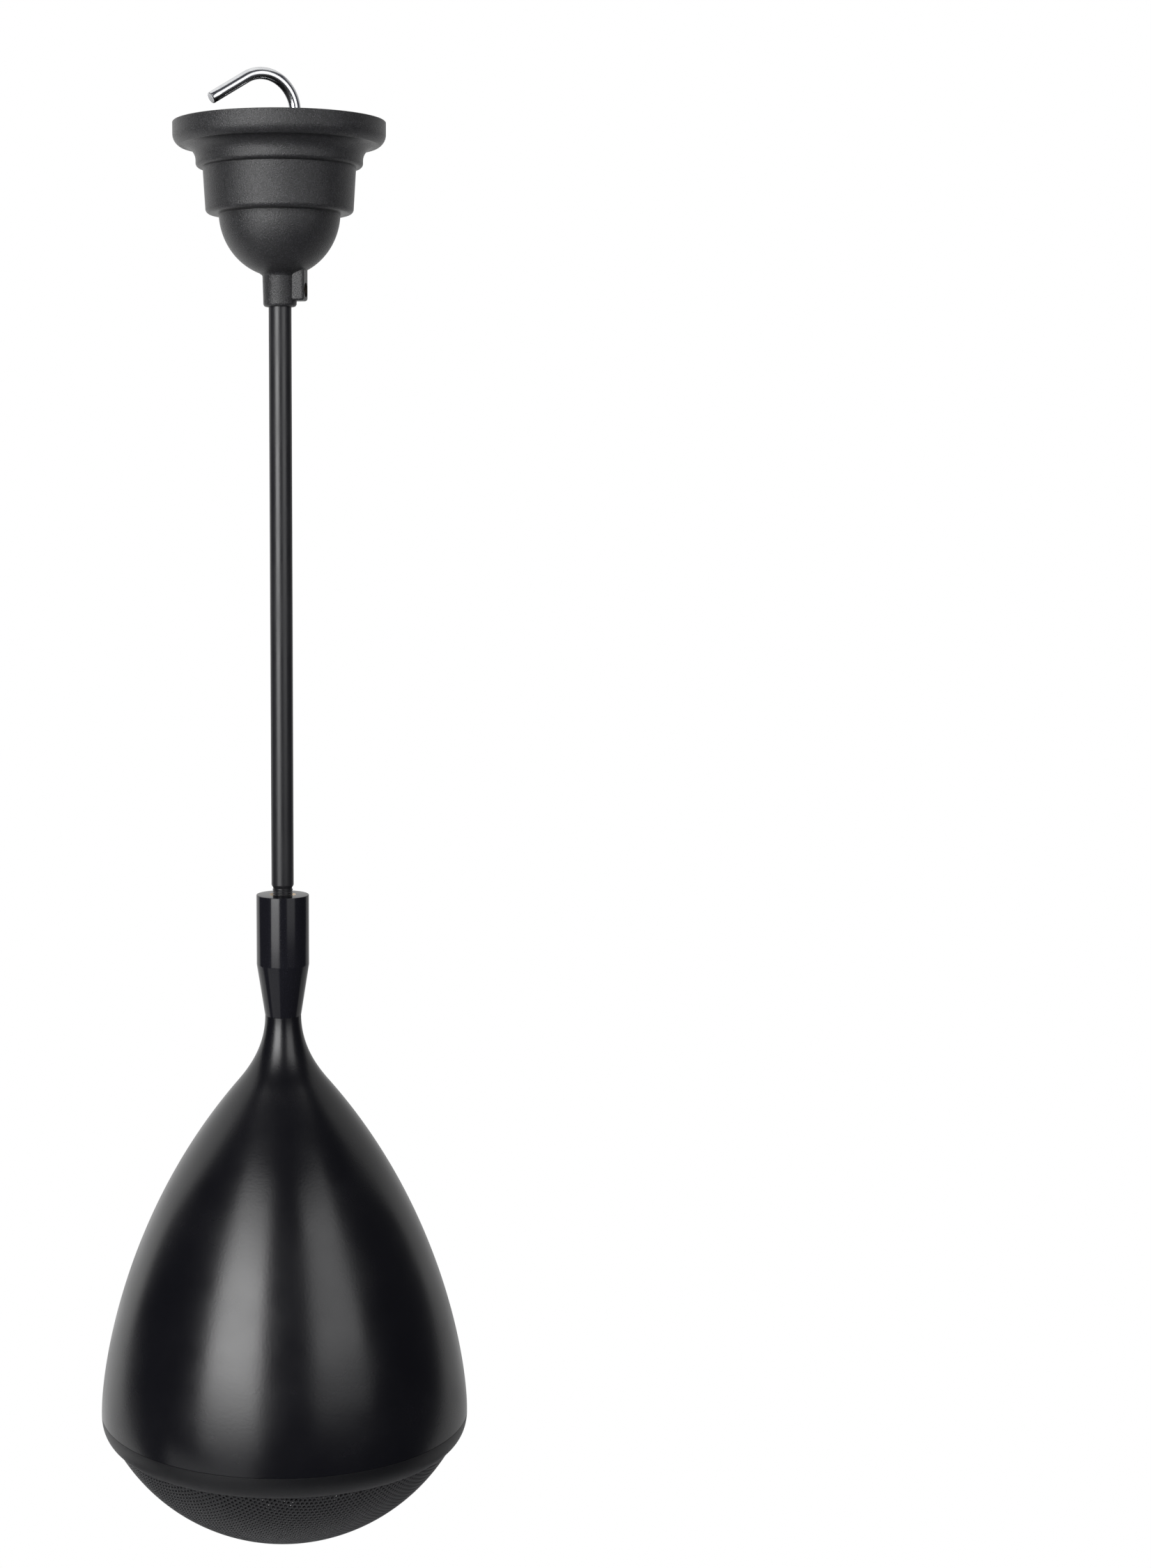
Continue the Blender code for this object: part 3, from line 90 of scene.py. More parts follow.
# Places and radii read from the frame
TUBE_END, TUBE_TOP = span("stem_tube")
TUBE_R = span("stem_tube", 0)[1]
COLLAR_END, CANOPY_TOP = span("canopy")
RIM_R = -span("canopy", 0)[0]
STUB_END, CONNECTOR_TOP = span("neck_connector")
CONNECTOR_R = span("neck_connector", 0)[1]
SEAM_Z, HOUSING_TOP = span("housing")
HOUSING_R = span("housing", 0)[1]
LIP_Z, RING_TOP = span("baffle_ring")
DOME_LOW, SKIRT_TOP = span("grille")
SKIRT_R = span("grille", 0)[1]
FLANGE_FRONT, BASKET_BACK = span("basket")
FLANGE_R = span("basket", 0)[1]
TWEETER_Z, TWEETER_BACK_Z = span("tweeter_body")
TWEETER_R = span("tweeter_body", 0)[1]
SHANK_END = span("hook")[0]
ROD_R = span("hook", 1)[1]
HOOK_NUT_Z = span("hook_nut")[0]
CAP_FOOT, CAP_Z = span("stem_cap")

# Hook
HOOK_INNER_R = 0.0166
HOOK_OFFSET = 0.0101
HOOK_LEAD = 0.0250
HOOK_LEAD_SLOPE = 31.0
SWAN_BEND_R = 0.0100
HOOK_TIP_EDGE = 0.0005   # burr filed off the cut end
HOOK_NUT_FLATS = 0.0120
NUT_CHAMFER = 0.0007

# Stem
TUBE_WALL = 0.0020
BORE_R = TUBE_R - TUBE_WALL
THREAD_R = TUBE_R - 0.00055
THREAD_PITCH = 0.00115
THREAD_H = 0.00042
THREAD_SHOWN = 0.0062
THREAD_RELIEF = 0.0007   # plain groove between the thread and the tube's chamfer
THREAD_ROWS = 60
TUBE_CHAMFER = 0.0023
CABLE_HOLE_R = 0.0030
GROMMET_FLANGE_R = 0.0046
GROMMET_FLANGE_H = 0.0012
GROMMET_BORE_R = 0.0018

# Canopy
CANOPY_WALL = 0.0022
RIM_H = 0.0129
RIM_EDGE = 0.0070
RIM_EDGE_TURN = 62.0
RIM_LOW = CANOPY_TOP - RIM_H
RIM_EDGE_TOP = RIM_LOW + RIM_EDGE * sin(radians(RIM_EDGE_TURN))
WAIST_R = RIM_R - 0.0129
COVE_R = 0.0082
WAIST_H = 0.0250
WAIST_EDGE = 0.0024
DRUM_R = WAIST_R - 0.0040
DRUM_H = 0.0256
DRUM_TAPER = 0.0013
DRUM_EDGE = 0.0028
BOWL_R = DRUM_R - 0.0088
BOWL_H = 0.0362
BOWL_RISE = 0.0030
BOWL_WALL = 0.0018
BOWL_ROOM_H = 0.0303
BOWL_STEP = 0.0018
COLLAR_R = TUBE_R + SLIDE_FIT + 0.0031
COLLAR_TAPER = 0.0004
COLLAR_EDGE = 0.0018
CANOPY_FLOOR = 0.0265
DRUM_Z = CANOPY_TOP - WAIST_H
DRUM_LOW = DRUM_Z - DRUM_H
BOWL_Z = DRUM_LOW - BOWL_STEP
BOSS_TURN = -39.0
BOSS_START = COLLAR_R - 0.0025
BOSS_REACH = COLLAR_R + 0.0052
BOSS_W = 0.0112
BOSS_H = 0.0190
BOSS_EDGE = 0.0016
BOSS_Z = BOWL_Z - 0.0277 - BOSS_H
CLAMP_Z = BOSS_Z + 0.32 * BOSS_H
INSERT_R = 0.0038
INSERT_L = 0.0037
INSERT_SUNK = 0.0020
KNURL_H = 0.00018
KNURL_COUNT = 24
CLAMP_SCREW_R = 0.0021
CLAMP_SCREW_L = 0.0057
CLAMP_SOCKET_R = 0.0012
CLAMP_SOCKET_L = 0.0020

# Neck connector
CONNECTOR_STRAIGHT = 0.0412
CONNECTOR_SHOULDER = 0.004
CONNECTOR_MOUTH = 0.0015
CONNECTOR_GROOVE_L = 0.004
CONNECTOR_GROOVE_ROWS = 40
NECK_Z = HOUSING_TOP + 0.0001
NECK_R = 0.0106
NECK_EDGE = 0.00012      # broken edge where the connector meets the housing
STUB_R = BORE_R + 0.0025
TURNED_EDGE = 0.0004

# Housing
HOUSING_WALL = 0.0025
THROAT_H = 0.0405
THROAT_R = 0.0276
THROAT_LEAN = 40.2
NECK_PULL = 0.0192
THROAT_PULL_UP = 0.0106
THROAT_PULL_DOWN = 0.1037
SKIRT_PULL = 0.0279
NECK_SEAT = 0.0362
PILLAR_R = 0.0060
PILLAR_H = 0.0240
SEAM_EDGE = 0.00015
SEAM_GAP = 0.0001

# Ring and grille
RING_LIP_R = HOUSING_R - 0.0059
RING_LIP_W = 0.0005
RING_CURVE_TOP = 0.0066
RING_CURVE_LOW = 0.0046
PLATE_T = 0.0040
PLATE_Z = RING_TOP - PLATE_T
GRILLE_T = 0.0010
GRILLE_PITCH = 0.0030
GRILLE_HOLE_R = 0.00108
HOLE_TAPER = 0.62        # size of a hole at the back of the sheet, of its size at the front
GRILLE_TURN = -15.0      # degrees from the hook's plane to a row of holes
FRONT_SIDES = 9          # sides of a hole at the front of the sheet
BACK_SIDES = 6
SKIRT_PERFORATED = 0.0004   # how far past the ring's lip the centres of holes run
SHEET_MARGIN = 0.0026    # plain metal round the last holes
DOME_DEPTH = LIP_Z - DOME_LOW
DOME_R = (SKIRT_R ** 2 + DOME_DEPTH ** 2) / (2 * DOME_DEPTH)
DOME_CENTRE = DOME_LOW + DOME_R
SHEET_R = 2 * DOME_R * sin(acos((DOME_CENTRE - LIP_Z) / DOME_R) / 2)   # as far as the lip

# Screws
SCREW_R = 0.0020
SCREW_FIT = 0.0004
SCREW_HEAD_R = 0.0036
SCREW_HEAD_H = 0.0024
CROSS_L = 0.0022
CROSS_W = 0.0004
BAFFLE_SCREW_L = 0.0180
DRIVER_SCREW_L = 0.0110
RIM_SCREW_R = FLANGE_R + 0.0191 / 2
DRIVER_SCREW_R = FLANGE_R - 0.0040
DRIVER_SCREW_TURNS = (7.5, 97.5, 187.5, 277.5)
RIM_SCREW_TURNS = [turn + 45 for turn in DRIVER_SCREW_TURNS]   # halfway between the driver's

# Driver
BASKET_MOUTH_R = FLANGE_R - 0.0110
BASKET_WALL = 0.0020
BASKET_SIDE_R = BASKET_MOUTH_R + 0.8 * BASKET_WALL
CUTOUT_R = BASKET_SIDE_R + 0.0014
FLANGE_Z = FLANGE_FRONT + 0.0020
SPIDER_SEAT_R = BASKET_MOUTH_R - 0.0230
SPIDER_SEAT_Z = FLANGE_Z + 0.0381
TOP_PLATE_R = SPIDER_SEAT_R - 0.0055
POLE_R = 0.428 * TOP_PLATE_R
GAP_W = 0.0028
ARM_W = 0.0155
WINDOW_COUNT = 6
CONE_T = 0.0006
CONE_R = BASKET_MOUTH_R - 0.0135
CONE_H = 0.0330
CONE_BULGE = 0.0035
FORMER_OUT = POLE_R + 0.0012
SPIDER_T = 0.0005
SPIDER_WAVE_H = 0.0012
SPIDER_WAVES = 2
SPIDER_STEPS = 64
SURROUND_T = 0.0008
SURROUND_LIP = 0.0036
SURROUND_GLUE = 0.0016
ROLL_GAP = 0.0006
ROLL_EDGE = 0.0008
TWEETER_DOME_R = 0.0126
TWEETER_DOME_H = 0.0050
TWEETER_DOME_T = 0.0005
TWEETER_DOME_SUNK = 0.0045
TWEETER_CUP_H = 0.0090

# Camera, as seen from the stem's axis
IMAGE_H = 2251
LENS = 57.57
CAMERA_DISTANCE = 1.45
CAMERA_AZIMUTH = -115.0  # degrees about Z from +X
CAMERA_Z = -0.221
CAMERA_PITCH = 7.0       # degrees down
CAMERA_YAW = 2.1         # degrees to the right of the stem
FRAMING_SHIFT = 290      # pixels

# Studio
AWAY = CAMERA_AZIMUTH + 180
SIDEWAYS = CAMERA_AZIMUTH + 90
WHITE = (1.0, 1.0, 1.0, 1.0)
DIM_SKY = (0.045, 0.046, 0.056, 1.0)
DIM_SCREEN = 0.25        # strength of the screens for all but the camera and reflections
FLOOR_Z = -1.36
FLOOR_SOLID_R = 0.45
FLOOR_FADE_R = 0.85
FLOOR_TONE = (0.85, 0.85, 0.86, 1.0)
FLOOR_LIFT = 0.45        # share of white in what the camera sees of the floor
BACKDROP_R = 3.2
BACKDROP_STEPS = 48
BACKDROP_LEVELS = (      # height, degrees to each side of the direction the camera looks in
    (-3.0, 88.0), (-1.9, 80.0), (-1.4, 64.0), (-0.9, 57.0), (-0.2, 59.0),
    (0.3, 67.0), (1.0, 76.0), (2.0, 83.0), (2.6, 85.0))
BACKDROP_GLOW = (0.85, 0.46)   # brightness in reflections, at the left and at the right
CEILING_GLOW = (0.95, 0.75)
CEILING_Z = 2.4
CEILING_FRONT = 0.8      # how far it reaches from the stem towards the camera
CEILING_BACK = 2.6
CEILING_W = 4.0
SOFTBOXES = (            # degrees to the right, distance, width, lower and upper end, radiance
    ("left_edge", -33.5, 1.9, 1.26, -1.10, 1.25, 1.1),
    ("left_middle", -33.5, 1.88, 1.22, -0.82, 0.88, 2.3),
    ("left_core", -32.5, 1.86, 1.12, -0.55, 0.36, 2.4),
    ("right_edge", 36.0, 1.9, 1.24, -0.75, 1.20, 0.8),
    ("right_middle", 37.0, 1.88, 1.10, -0.42, 0.80, 1.0),
    ("table_left", -47.0, 1.6, 1.7, -2.3, -1.2, 0.5))


class Socket:
    """A shader socket that takes part in Python expressions."""

    def __init__(self, finish, socket):
        self.finish = finish
        self.socket = socket

    def maths(self, operation, *values):
        return self.finish.node("Math", {"operation": operation}, dict(enumerate(values)))

    def __add__(self, other):
        return self.maths("ADD", self, other)

    def __mul__(self, other):
        return self.maths("MULTIPLY", self, other)

    __radd__ = __add__
    __rmul__ = __mul__


class Finish:
    """The nodes of a material, or of the world, under construction."""

    def __init__(self, name, kind=bpy.data.materials):
        self.owner = kind.new(name)
        self.owner.use_nodes = True
        self.tree = self.owner.node_tree
        self.place = None

    def node(self, kind, settings=None, values=None, out=0):
        """Add a node: settings first, then the values or links of its sockets."""
        made = self.tree.nodes.new("ShaderNode" + kind)
        for key, value in (settings or {}).items():
            if key == "stops":
                self.set_stops(made.color_ramp.elements, value)
            else:
                setattr(made, key, value)
        for key, value in (values or {}).items():
            self.feed(made.inputs[key], value)
        return Socket(self, made.outputs[out])

    def set_stops(self, elements, stops):
        """Give a colour ramp its grey stops (position, value)."""
        while len(elements) < len(stops):
            elements.new(1.0)
        for element, (position, value) in zip(elements, stops):
            element.position = position
            element.color = (value, value, value, 1.0)

    def feed(self, socket, value):
        if isinstance(value, Socket):
            self.tree.links.new(value.socket, socket)
        else:
            socket.default_value = value

    def coordinates(self, stretch=None):
        """Object coordinates, stretched along the axes."""
        self.place = self.place or self.node("TexCoord", out="Object")
        if not stretch:
            return self.place
        return self.node("Mapping", {"vector_type": "POINT"}, {"Vector": self.place, "Scale": stretch})

    def noise(self, size, detail=2.0, stretch=None, rough=0.5):
        """Cloudy pattern of a size in metres, from 0 to 1."""
        return self.node("TexNoise", None, {
            "Vector": self.coordinates(stretch), "Scale": 1.0 / size, "Detail": detail, "Roughness": rough})

    def cells(self, size):
        """Distance to the nearest of scattered points, for grains."""
        return self.node("TexVoronoi", None, {"Vector": self.coordinates(), "Scale": 1.0 / size})

    def threads(self, direction, scale=520.0, distortion=0.4):
        """Strands side by side along an axis, from 0 to 1."""
        return self.node("TexWave", {"bands_direction": direction}, {
            "Vector": self.coordinates(), "Scale": scale, "Distortion": distortion, "Detail": 1.0}, 1)

    def ramp(self, value, *stops):
        return self.node("ValToRGB", {"stops": stops}, {0: value})

    def between(self, factor, first, second):
        """Colour between two colours."""
        colours = {0: factor, 6: as_colour(first), 7: as_colour(second)}
        return self.node("Mix", {"data_type": "RGBA"}, colours, 2)

    def bump(self, height, depth, under=None):
        """Normal for a height pattern, whose full range stands for a depth in metres."""
        values = {"Height": height, "Distance": depth}
        if under:
            values["Normal"] = under
        return self.node("Bump", None, values)

    def coat(self, share, first, second, roughness, relief, depth, under=None, **more):
        """The finished material: two tones mixed by a share, a roughness and a relief.

        More sockets are named in lower case, such as sheen_weight for Sheen Weight."""
        values = {"base_color": self.between(share, first, second), "roughness": roughness,
                  "normal": self.bump(relief, depth, under), **more}
        for key, value in values.items():
            name = "IOR" if key == "ior" else key.replace("_", " ").title()
            self.feed(self.tree.nodes["Principled BSDF"].inputs[name], value)
        return self.owner

    def glow(self, strength):
        return self.node("Emission", None, {"Strength": strength})

    def ray(self, kind):
        """1 for light paths of a kind, and 0 for others."""
        return self.node("LightPath", out=f"Is {kind} Ray")

    def mix(self, factor, first, second):
        """Shader between two shaders."""
        return self.node("MixShader", None, {0: factor, 1: first, 2: second})

    def show(self, shader, output="Material Output"):
        self.feed(self.tree.nodes[output].inputs["Surface"], shader)
        return self.owner


def as_colour(value):
    return value if isinstance(value, Socket) else (*value, 1.0)


def shade(colour, factor):
    """The same colour, lighter or darker."""
    return tuple(min(1.0, c * factor) for c in colour)


# Finishes

def polished_chrome():
    """Bright plating: a faint cloudiness, and draw marks that follow the bar."""
    finish = Finish("polished_chrome")
    cloud = finish.noise(0.004, 3.0)
    marks = finish.noise(0.0006, stretch=(1, 1, 0.12))
    share = finish.ramp(cloud, (0.35, 0.0), (0.7, 1.0))
    return finish.coat(share, (0.93, 0.94, 0.95), (0.80, 0.81, 0.83), 0.15 + cloud * 0.05 + marks * 0.04,
                       marks, 0.000004, metallic=1.0)


def sawn_end():
    """Cut face of the bar, bare and scratched by the saw."""
    finish = Finish("sawn_end")
    teeth = finish.noise(0.0003, stretch=(0.08, 1, 1))
    return finish.coat(teeth, (0.78, 0.79, 0.80), (0.95, 0.96, 0.97), 0.5 + teeth * 0.2,
                       teeth, 0.00002, metallic=0.35)


def black_lacquer(name, roughness, peel, tone=(0.0035, 0.0035, 0.0052), ior=1.6):
    """Sprayed black: orange peel, a little unevenness in the gloss, and fine dust in the film."""
    finish = Finish(name)
    waves = finish.noise(0.0016)
    cloud = finish.noise(0.035, 3.0)
    dust = finish.ramp(finish.noise(0.00055, 1.0), (0.66, 0.0), (0.74, 1.0))
    film = finish.between(cloud, shade(tone, 0.85), shade(tone, 1.2))
    return finish.coat(dust * 0.5, film, shade(tone, 2.6), roughness * 0.6 + cloud * (roughness * 0.8),
                       waves, peel, finish.bump(dust, 0.000006), ior=ior)


def moulded_black(name, tone, grain, depth, roughness, painted_glint, ior=1.5):
    """Moulded plastic with a spark-eroded skin: pits, and painted glints, which are lighter grains of uneven
    strength in the colour standing for light caught by the skin's facets.
    """
    finish = Finish(name)
    pits = finish.noise(grain, 3.0, rough=0.65)
    strength = finish.ramp(finish.noise(1.4 * grain, 1.0), (0.38, 0.1), (0.62, 1.0))
    # painted glints: lighter grains in the base colour that stand for light caught by the facets, not a
    # colour of the plastic
    glint_grains = strength * finish.ramp(finish.cells(grain), (0.12, 1.0), (0.5, 0.0))
    under = finish.between(finish.noise(0.02, 3.0), shade(tone, 0.5), shade(tone, 0.8))
    return finish.coat(glint_grains * painted_glint, under, shade(tone, 5.0), roughness - 0.1 + pits * 0.2,
                       pits, depth, ior=ior)


def powder_coat():
    """Baked powder: a fine, slightly glossy orange peel over dark grey."""
    finish = Finish("powder_coat")
    peel = finish.noise(0.00045)
    specks = finish.ramp(finish.noise(0.00022, 1.0), (0.5, 0.0), (0.75, 1.0))
    return finish.coat(specks * 0.5, (0.012, 0.012, 0.0135), (0.034, 0.034, 0.036), 0.30 + peel * 0.2,
                       peel, 0.00002)


def bare_metal(name, tone, roughness, lines=(1, 1, 0.05)):
    """Plated or turned metal with fine marks along one direction."""
    finish = Finish(name)
    marks = finish.noise(0.0002, stretch=lines)
    cloud = finish.noise(0.006, 3.0)
    return finish.coat(cloud, shade(tone, 0.82), shade(tone, 1.12),
                       roughness - 0.06 + marks * 0.14 + cloud * 0.05, marks, 0.000008, metallic=1.0)


def pressed_steel():
    """Black electro-coat on pressed steel."""
    finish = Finish("pressed_steel")
    peel = finish.noise(0.0008)
    return finish.coat(finish.noise(0.012), (0.022, 0.022, 0.024), (0.034, 0.034, 0.036),
                       0.40 + peel * 0.16, peel, 0.00002)


def wound_wire():
    """Enamelled copper turns lying side by side."""
    finish = Finish("wound_wire")
    turns = finish.threads("Z", 1100.0, 0.6)
    cloud = finish.noise(0.003)
    enamel = finish.between(cloud, (0.62, 0.24, 0.10), (0.50, 0.17, 0.06))
    return finish.coat(turns, (0.17, 0.05, 0.018), enamel, 0.28 + cloud * 0.12, turns, 0.00008, metallic=0.9)


def former_foil():
    """Yellowed polyimide foil round the coil."""
    finish = Finish("former_foil")
    cloud = finish.noise(0.002, 3.0)
    return finish.coat(cloud, (0.42, 0.20, 0.035), (0.55, 0.30, 0.06), 0.25 + cloud * 0.15, cloud, 0.00002)


def sintered_ferrite():
    """Ground ferrite: dark grey with a mineral grain."""
    finish = Finish("sintered_ferrite")
    grain = finish.noise(0.0004, 3.0, rough=0.7)
    chips = finish.ramp(finish.cells(0.0022), (0.05, 0.0), (0.4, 1.0))
    ground = finish.between(grain, (0.034, 0.034, 0.037), (0.058, 0.058, 0.062))
    return finish.coat(chips, (0.018, 0.018, 0.020), ground, 0.5 + grain * 0.2, grain, 0.00003, metallic=0.25)


def soft_rubber():
    """Moulded rubber with a bloom that dulls it in places."""
    finish = Finish("soft_rubber")
    bloom = finish.noise(0.007, 4.0)
    return finish.coat(bloom, (0.010, 0.010, 0.011), (0.024, 0.024, 0.026), 0.52 + bloom * 0.2,
                       finish.noise(0.0003), 0.00002)


def cone_paper():
    """Pressed pulp: short fibres in all directions, dyed black."""
    finish = Finish("cone_paper")
    fibres = finish.noise(0.0009, 3.0, (1, 0.2, 0.2)) * finish.noise(0.0009, 3.0, (0.2, 1, 0.4))
    share = finish.ramp(fibres, (0.15, 0.0), (0.4, 1.0))
    return finish.coat(share, (0.016, 0.015, 0.015), (0.052, 0.050, 0.048), 0.78 + fibres * 0.2,
                       fibres, 0.00008)


def woven_cloth(name, gap, thread):
    """Impregnated open weave, of the spider and of the small dome."""
    finish = Finish(name)
    across = finish.threads("X")
    cloth = across.maths("MAXIMUM", across, finish.threads("Y"))
    return finish.coat(cloth, gap, thread, 0.7 + cloth * 0.15, cloth, 0.00006)


def felt_band():
    """Needled felt: grey fibres of several tones, with no shine."""
    finish = Finish("felt_band")
    fibres = finish.noise(0.0012, 4.0, (1, 1, 0.3), 0.7)
    tufts = finish.noise(0.006, 3.0)
    light = finish.between(tufts, (0.26, 0.26, 0.25), (0.38, 0.37, 0.36))
    return finish.coat(finish.ramp(fibres, (0.3, 0.0), (0.7, 1.0)), (0.12, 0.12, 0.115), light, 0.95,
                       fibres * 0.6 + tufts * 0.4, 0.0006, sheen_weight=0.4)


def board_laminate():
    """Glass-fibre board: a green mask over a faint weave."""
    finish = Finish("board_laminate")
    weave = finish.threads("Y") * finish.threads("Z")
    return finish.coat(weave, (0.018, 0.115, 0.045), (0.030, 0.16, 0.065), 0.32 + weave * 0.1, weave, 0.00002)


FINISHES = {
    "hook_chrome": polished_chrome(),
    "housing_lacquer": black_lacquer("housing_lacquer", 0.25, 0.000030),
    "stem_lacquer": black_lacquer("stem_lacquer", 0.34, 0.000012, (0.018, 0.018, 0.020)),
    "neck_lacquer": black_lacquer("neck_lacquer", 0.15, 0.000004, (0.010, 0.010, 0.0135), 1.47),
    # for each moulded plastic, the value after the roughness is the strength of its painted glints
    "canopy_plastic": moulded_black(
        "canopy_plastic", (0.017, 0.017, 0.0185), 0.00070, 0.00034, 0.30, 1.0, 1.68),
    "ring_plastic": moulded_black("ring_plastic", (0.0055, 0.0055, 0.0070), 0.00060, 0.00004, 0.42, 0.3),
    "grille_powder_coat": powder_coat(),
    "frame_steel": pressed_steel(),
    "plated_steel": bare_metal("plated_steel", (0.56, 0.57, 0.58), 0.30),
    "turned_brass": bare_metal("turned_brass", (0.72, 0.50, 0.20), 0.28, (0.05, 1, 1)),
    "wound_copper": wound_wire(),
    "former_foil": former_foil(),
    "magnet_ferrite": sintered_ferrite(),
    "black_rubber": soft_rubber(),
    "cone_paper": cone_paper(),
    "woven_cloth": woven_cloth("woven_cloth", (0.13, 0.07, 0.025), (0.48, 0.31, 0.13)),
    "felt_lining": felt_band(),
    "board_laminate": board_laminate(),
}
BARE_THREAD = bare_metal("bare_thread", (0.74, 0.60, 0.44), 0.30)
GREY_SILK = woven_cloth("grey_silk", (0.05, 0.05, 0.052), (0.20, 0.20, 0.205))


# Outlines and meshes

def polar(radius, turn):
    """Point (x, y) at a distance and an angle in degrees."""
    angle = radians(turn)
    return radius * cos(angle), radius * sin(angle)


def arc(centre, radius, start, end, count):
    """Points (r, z) round a centre, from one angle in degrees to another, ends included."""
    offsets = (polar(radius, start + (end - start) * i / count) for i in range(count + 1))
    return [(centre[0] + r, centre[1] + z) for r, z in offsets]


def circle(x, y, radius, count=TINY_ROUND):
    return arc((x, y), radius, 0, 360, count)[:-1]


def bezier(a, b, c, d, count):
    """Points (r, z) along a cubic curve, ends included."""
    points = []
    for i in range(count + 1):
        t = i / count
        u = 1 - t
        weights = (u ** 3, 3 * t * u * u, 3 * t * t * u, t ** 3)
        points.append(tuple(sum(w * p[k] for w, p in zip(weights, (a, b, c, d))) for k in (0, 1)))
    return points


def inset(points, distance):
    """The same line moved to its right-hand side, square to its run at each point."""
    shifted = []
    for i, (r, z) in enumerate(points):
        before = points[max(i - 1, 0)]
        after = points[min(i + 1, len(points) - 1)]
        run = Vector((after[0] - before[0], after[1] - before[1])).normalized()
        shifted.append((r + run.y * distance, z - run.x * distance))
    return shifted


def at_height(points, z):
    """Radius of a falling outline at one height."""
    for (r0, z0), (r1, z1) in zip(points, points[1:]):
        if z0 >= z >= z1:
            return r0 + (r1 - r0) * (z0 - z) / (z0 - z1)
    return points[-1][0]


def soften(outline, count=4):
    """Round the corners of a closed outline: a point (r, z, size) gets an arc of that radius."""
    line = []
    for i, point in enumerate(outline):
        if len(point) == 2:
            line.append(point)
            continue
        here = Vector(point[:2])
        back = Vector(outline[i - 1][:2]) - here
        ahead = Vector(outline[(i + 1) % len(outline)][:2]) - here
        half = back.angle(ahead) / 2
        reach = min(point[2] / tan(half), 0.49 * back.length, 0.49 * ahead.length)
        centre = here + (back.normalized() + ahead.normalized()).normalized() * reach / cos(half)
        first = here + back.normalized() * reach - centre
        last = here + ahead.normalized() * reach - centre
        swing = remainder(atan2(last.y, last.x) - atan2(first.y, first.x), tau)
        start = degrees(atan2(first.y, first.x))
        line += arc(centre, first.length, start, start + degrees(swing), count)
    return line


def band(a, b, count):
    """Faces between two closed rows of points, from where each row starts."""
    return [(a + k, a + (k + 1) % count, b + (k + 1) % count, b + k) for k in range(count)]


def spin(turn, axis="Z"):
    return Matrix.Rotation(radians(turn), 4, axis)


def placed(name, data):
    obj = bpy.data.objects.new(name, data)
    bpy.context.collection.objects.link(obj)
    return obj


def mesh_object(name, verts, faces, smooth=32):
    """Make a closed mesh with its faces pointing out and its sharp edges marked."""
    mesh = bpy.data.meshes.new(name)
    mesh.from_pydata(verts, [], faces)
    return tidy(placed(name, mesh), smooth)


def tidy(obj, smooth=32):
    """Merge doubled points, turn the faces out and shade smooth between sharp edges."""
    bm = bmesh.new()
    bm.from_mesh(obj.data)
    bmesh.ops.remove_doubles(bm, verts=bm.verts, dist=NOTHING)
    bmesh.ops.recalc_face_normals(bm, faces=bm.faces)
    bm.to_mesh(obj.data)
    bm.free()
    obj.data.shade_smooth()
    obj.data.set_sharp_from_angle(angle=radians(smooth))
    return obj


def turned(name, outline, steps=SMALL_ROUND, shape=None):
    """Turn a closed outline (r, z) about Z. Shape, if given, changes the radius by height and angle."""
    verts, rows = [], []
    for r, z in outline:
        if r < NOTHING:
            verts.append((0, 0, z))
            rows.append([len(verts) - 1] * steps)
            continue
        rows.append(list(range(len(verts), len(verts) + steps)))
        for k in range(steps):
            angle = tau * k / steps
            reach = shape(r, z, angle) if shape else r
            verts.append((reach * cos(angle), reach * sin(angle), z))
    faces = []
    for low, high in zip(rows, rows[1:] + rows[:1]):
        for k in range(steps):
            m = (k + 1) % steps
            face = list(dict.fromkeys((low[k], low[m], high[m], high[k])))
            if len(face) > 2:
                faces.append(face)
    return mesh_object(name, verts, faces)


def prism(name, outline, low, high, turns=(0.0,)):
    """Upright prism on an outline (x, y), repeated at angles about Z, in one mesh."""
    verts, faces = [], []
    count = len(outline)
    for turn in turns:
        base = len(verts)
        place = spin(turn)
        verts += [place @ Vector((x, y, z)) for z in (low, high) for x, y in outline]
        faces += [range(base, base + count), range(base + count, base + 2 * count)]
        faces += band(base, base + count, count)
    return mesh_object(name, verts, faces)


def moved(obj, matrix):
    obj.data.transform(matrix)
    return obj


def combined(obj, tool, operation="DIFFERENCE"):
    """Cut a tool out of an object, or add it, and drop the tool."""
    step = obj.modifiers.new("join", "BOOLEAN")
    step.operation = operation
    step.solver = "EXACT"
    step.object = tool
    graph = bpy.context.evaluated_depsgraph_get()
    mesh = bpy.data.meshes.new_from_object(obj.evaluated_get(graph))
    obj.modifiers.clear()
    obj.data = mesh
    bpy.data.objects.remove(tool, do_unlink=True)
    return tidy(obj)


def screw_holes(obj, radius, turns, low, high):
    """Cut a circle of holes for screws."""
    hole = circle(radius, 0, SCREW_R + SCREW_FIT, HOLE_ROUND)
    return combined(obj, prism("drill", hole, low, high, turns))


def fitted(obj, node, slot, body="hanger", finish=None):
    """Give a piece its finish and its body, in place of its solid."""
    obj.data.materials.clear()
    obj.data.materials.append(finish or FINISHES[slot])
    if body:
        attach(obj, body)
    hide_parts(node)
    return obj


# Hanger

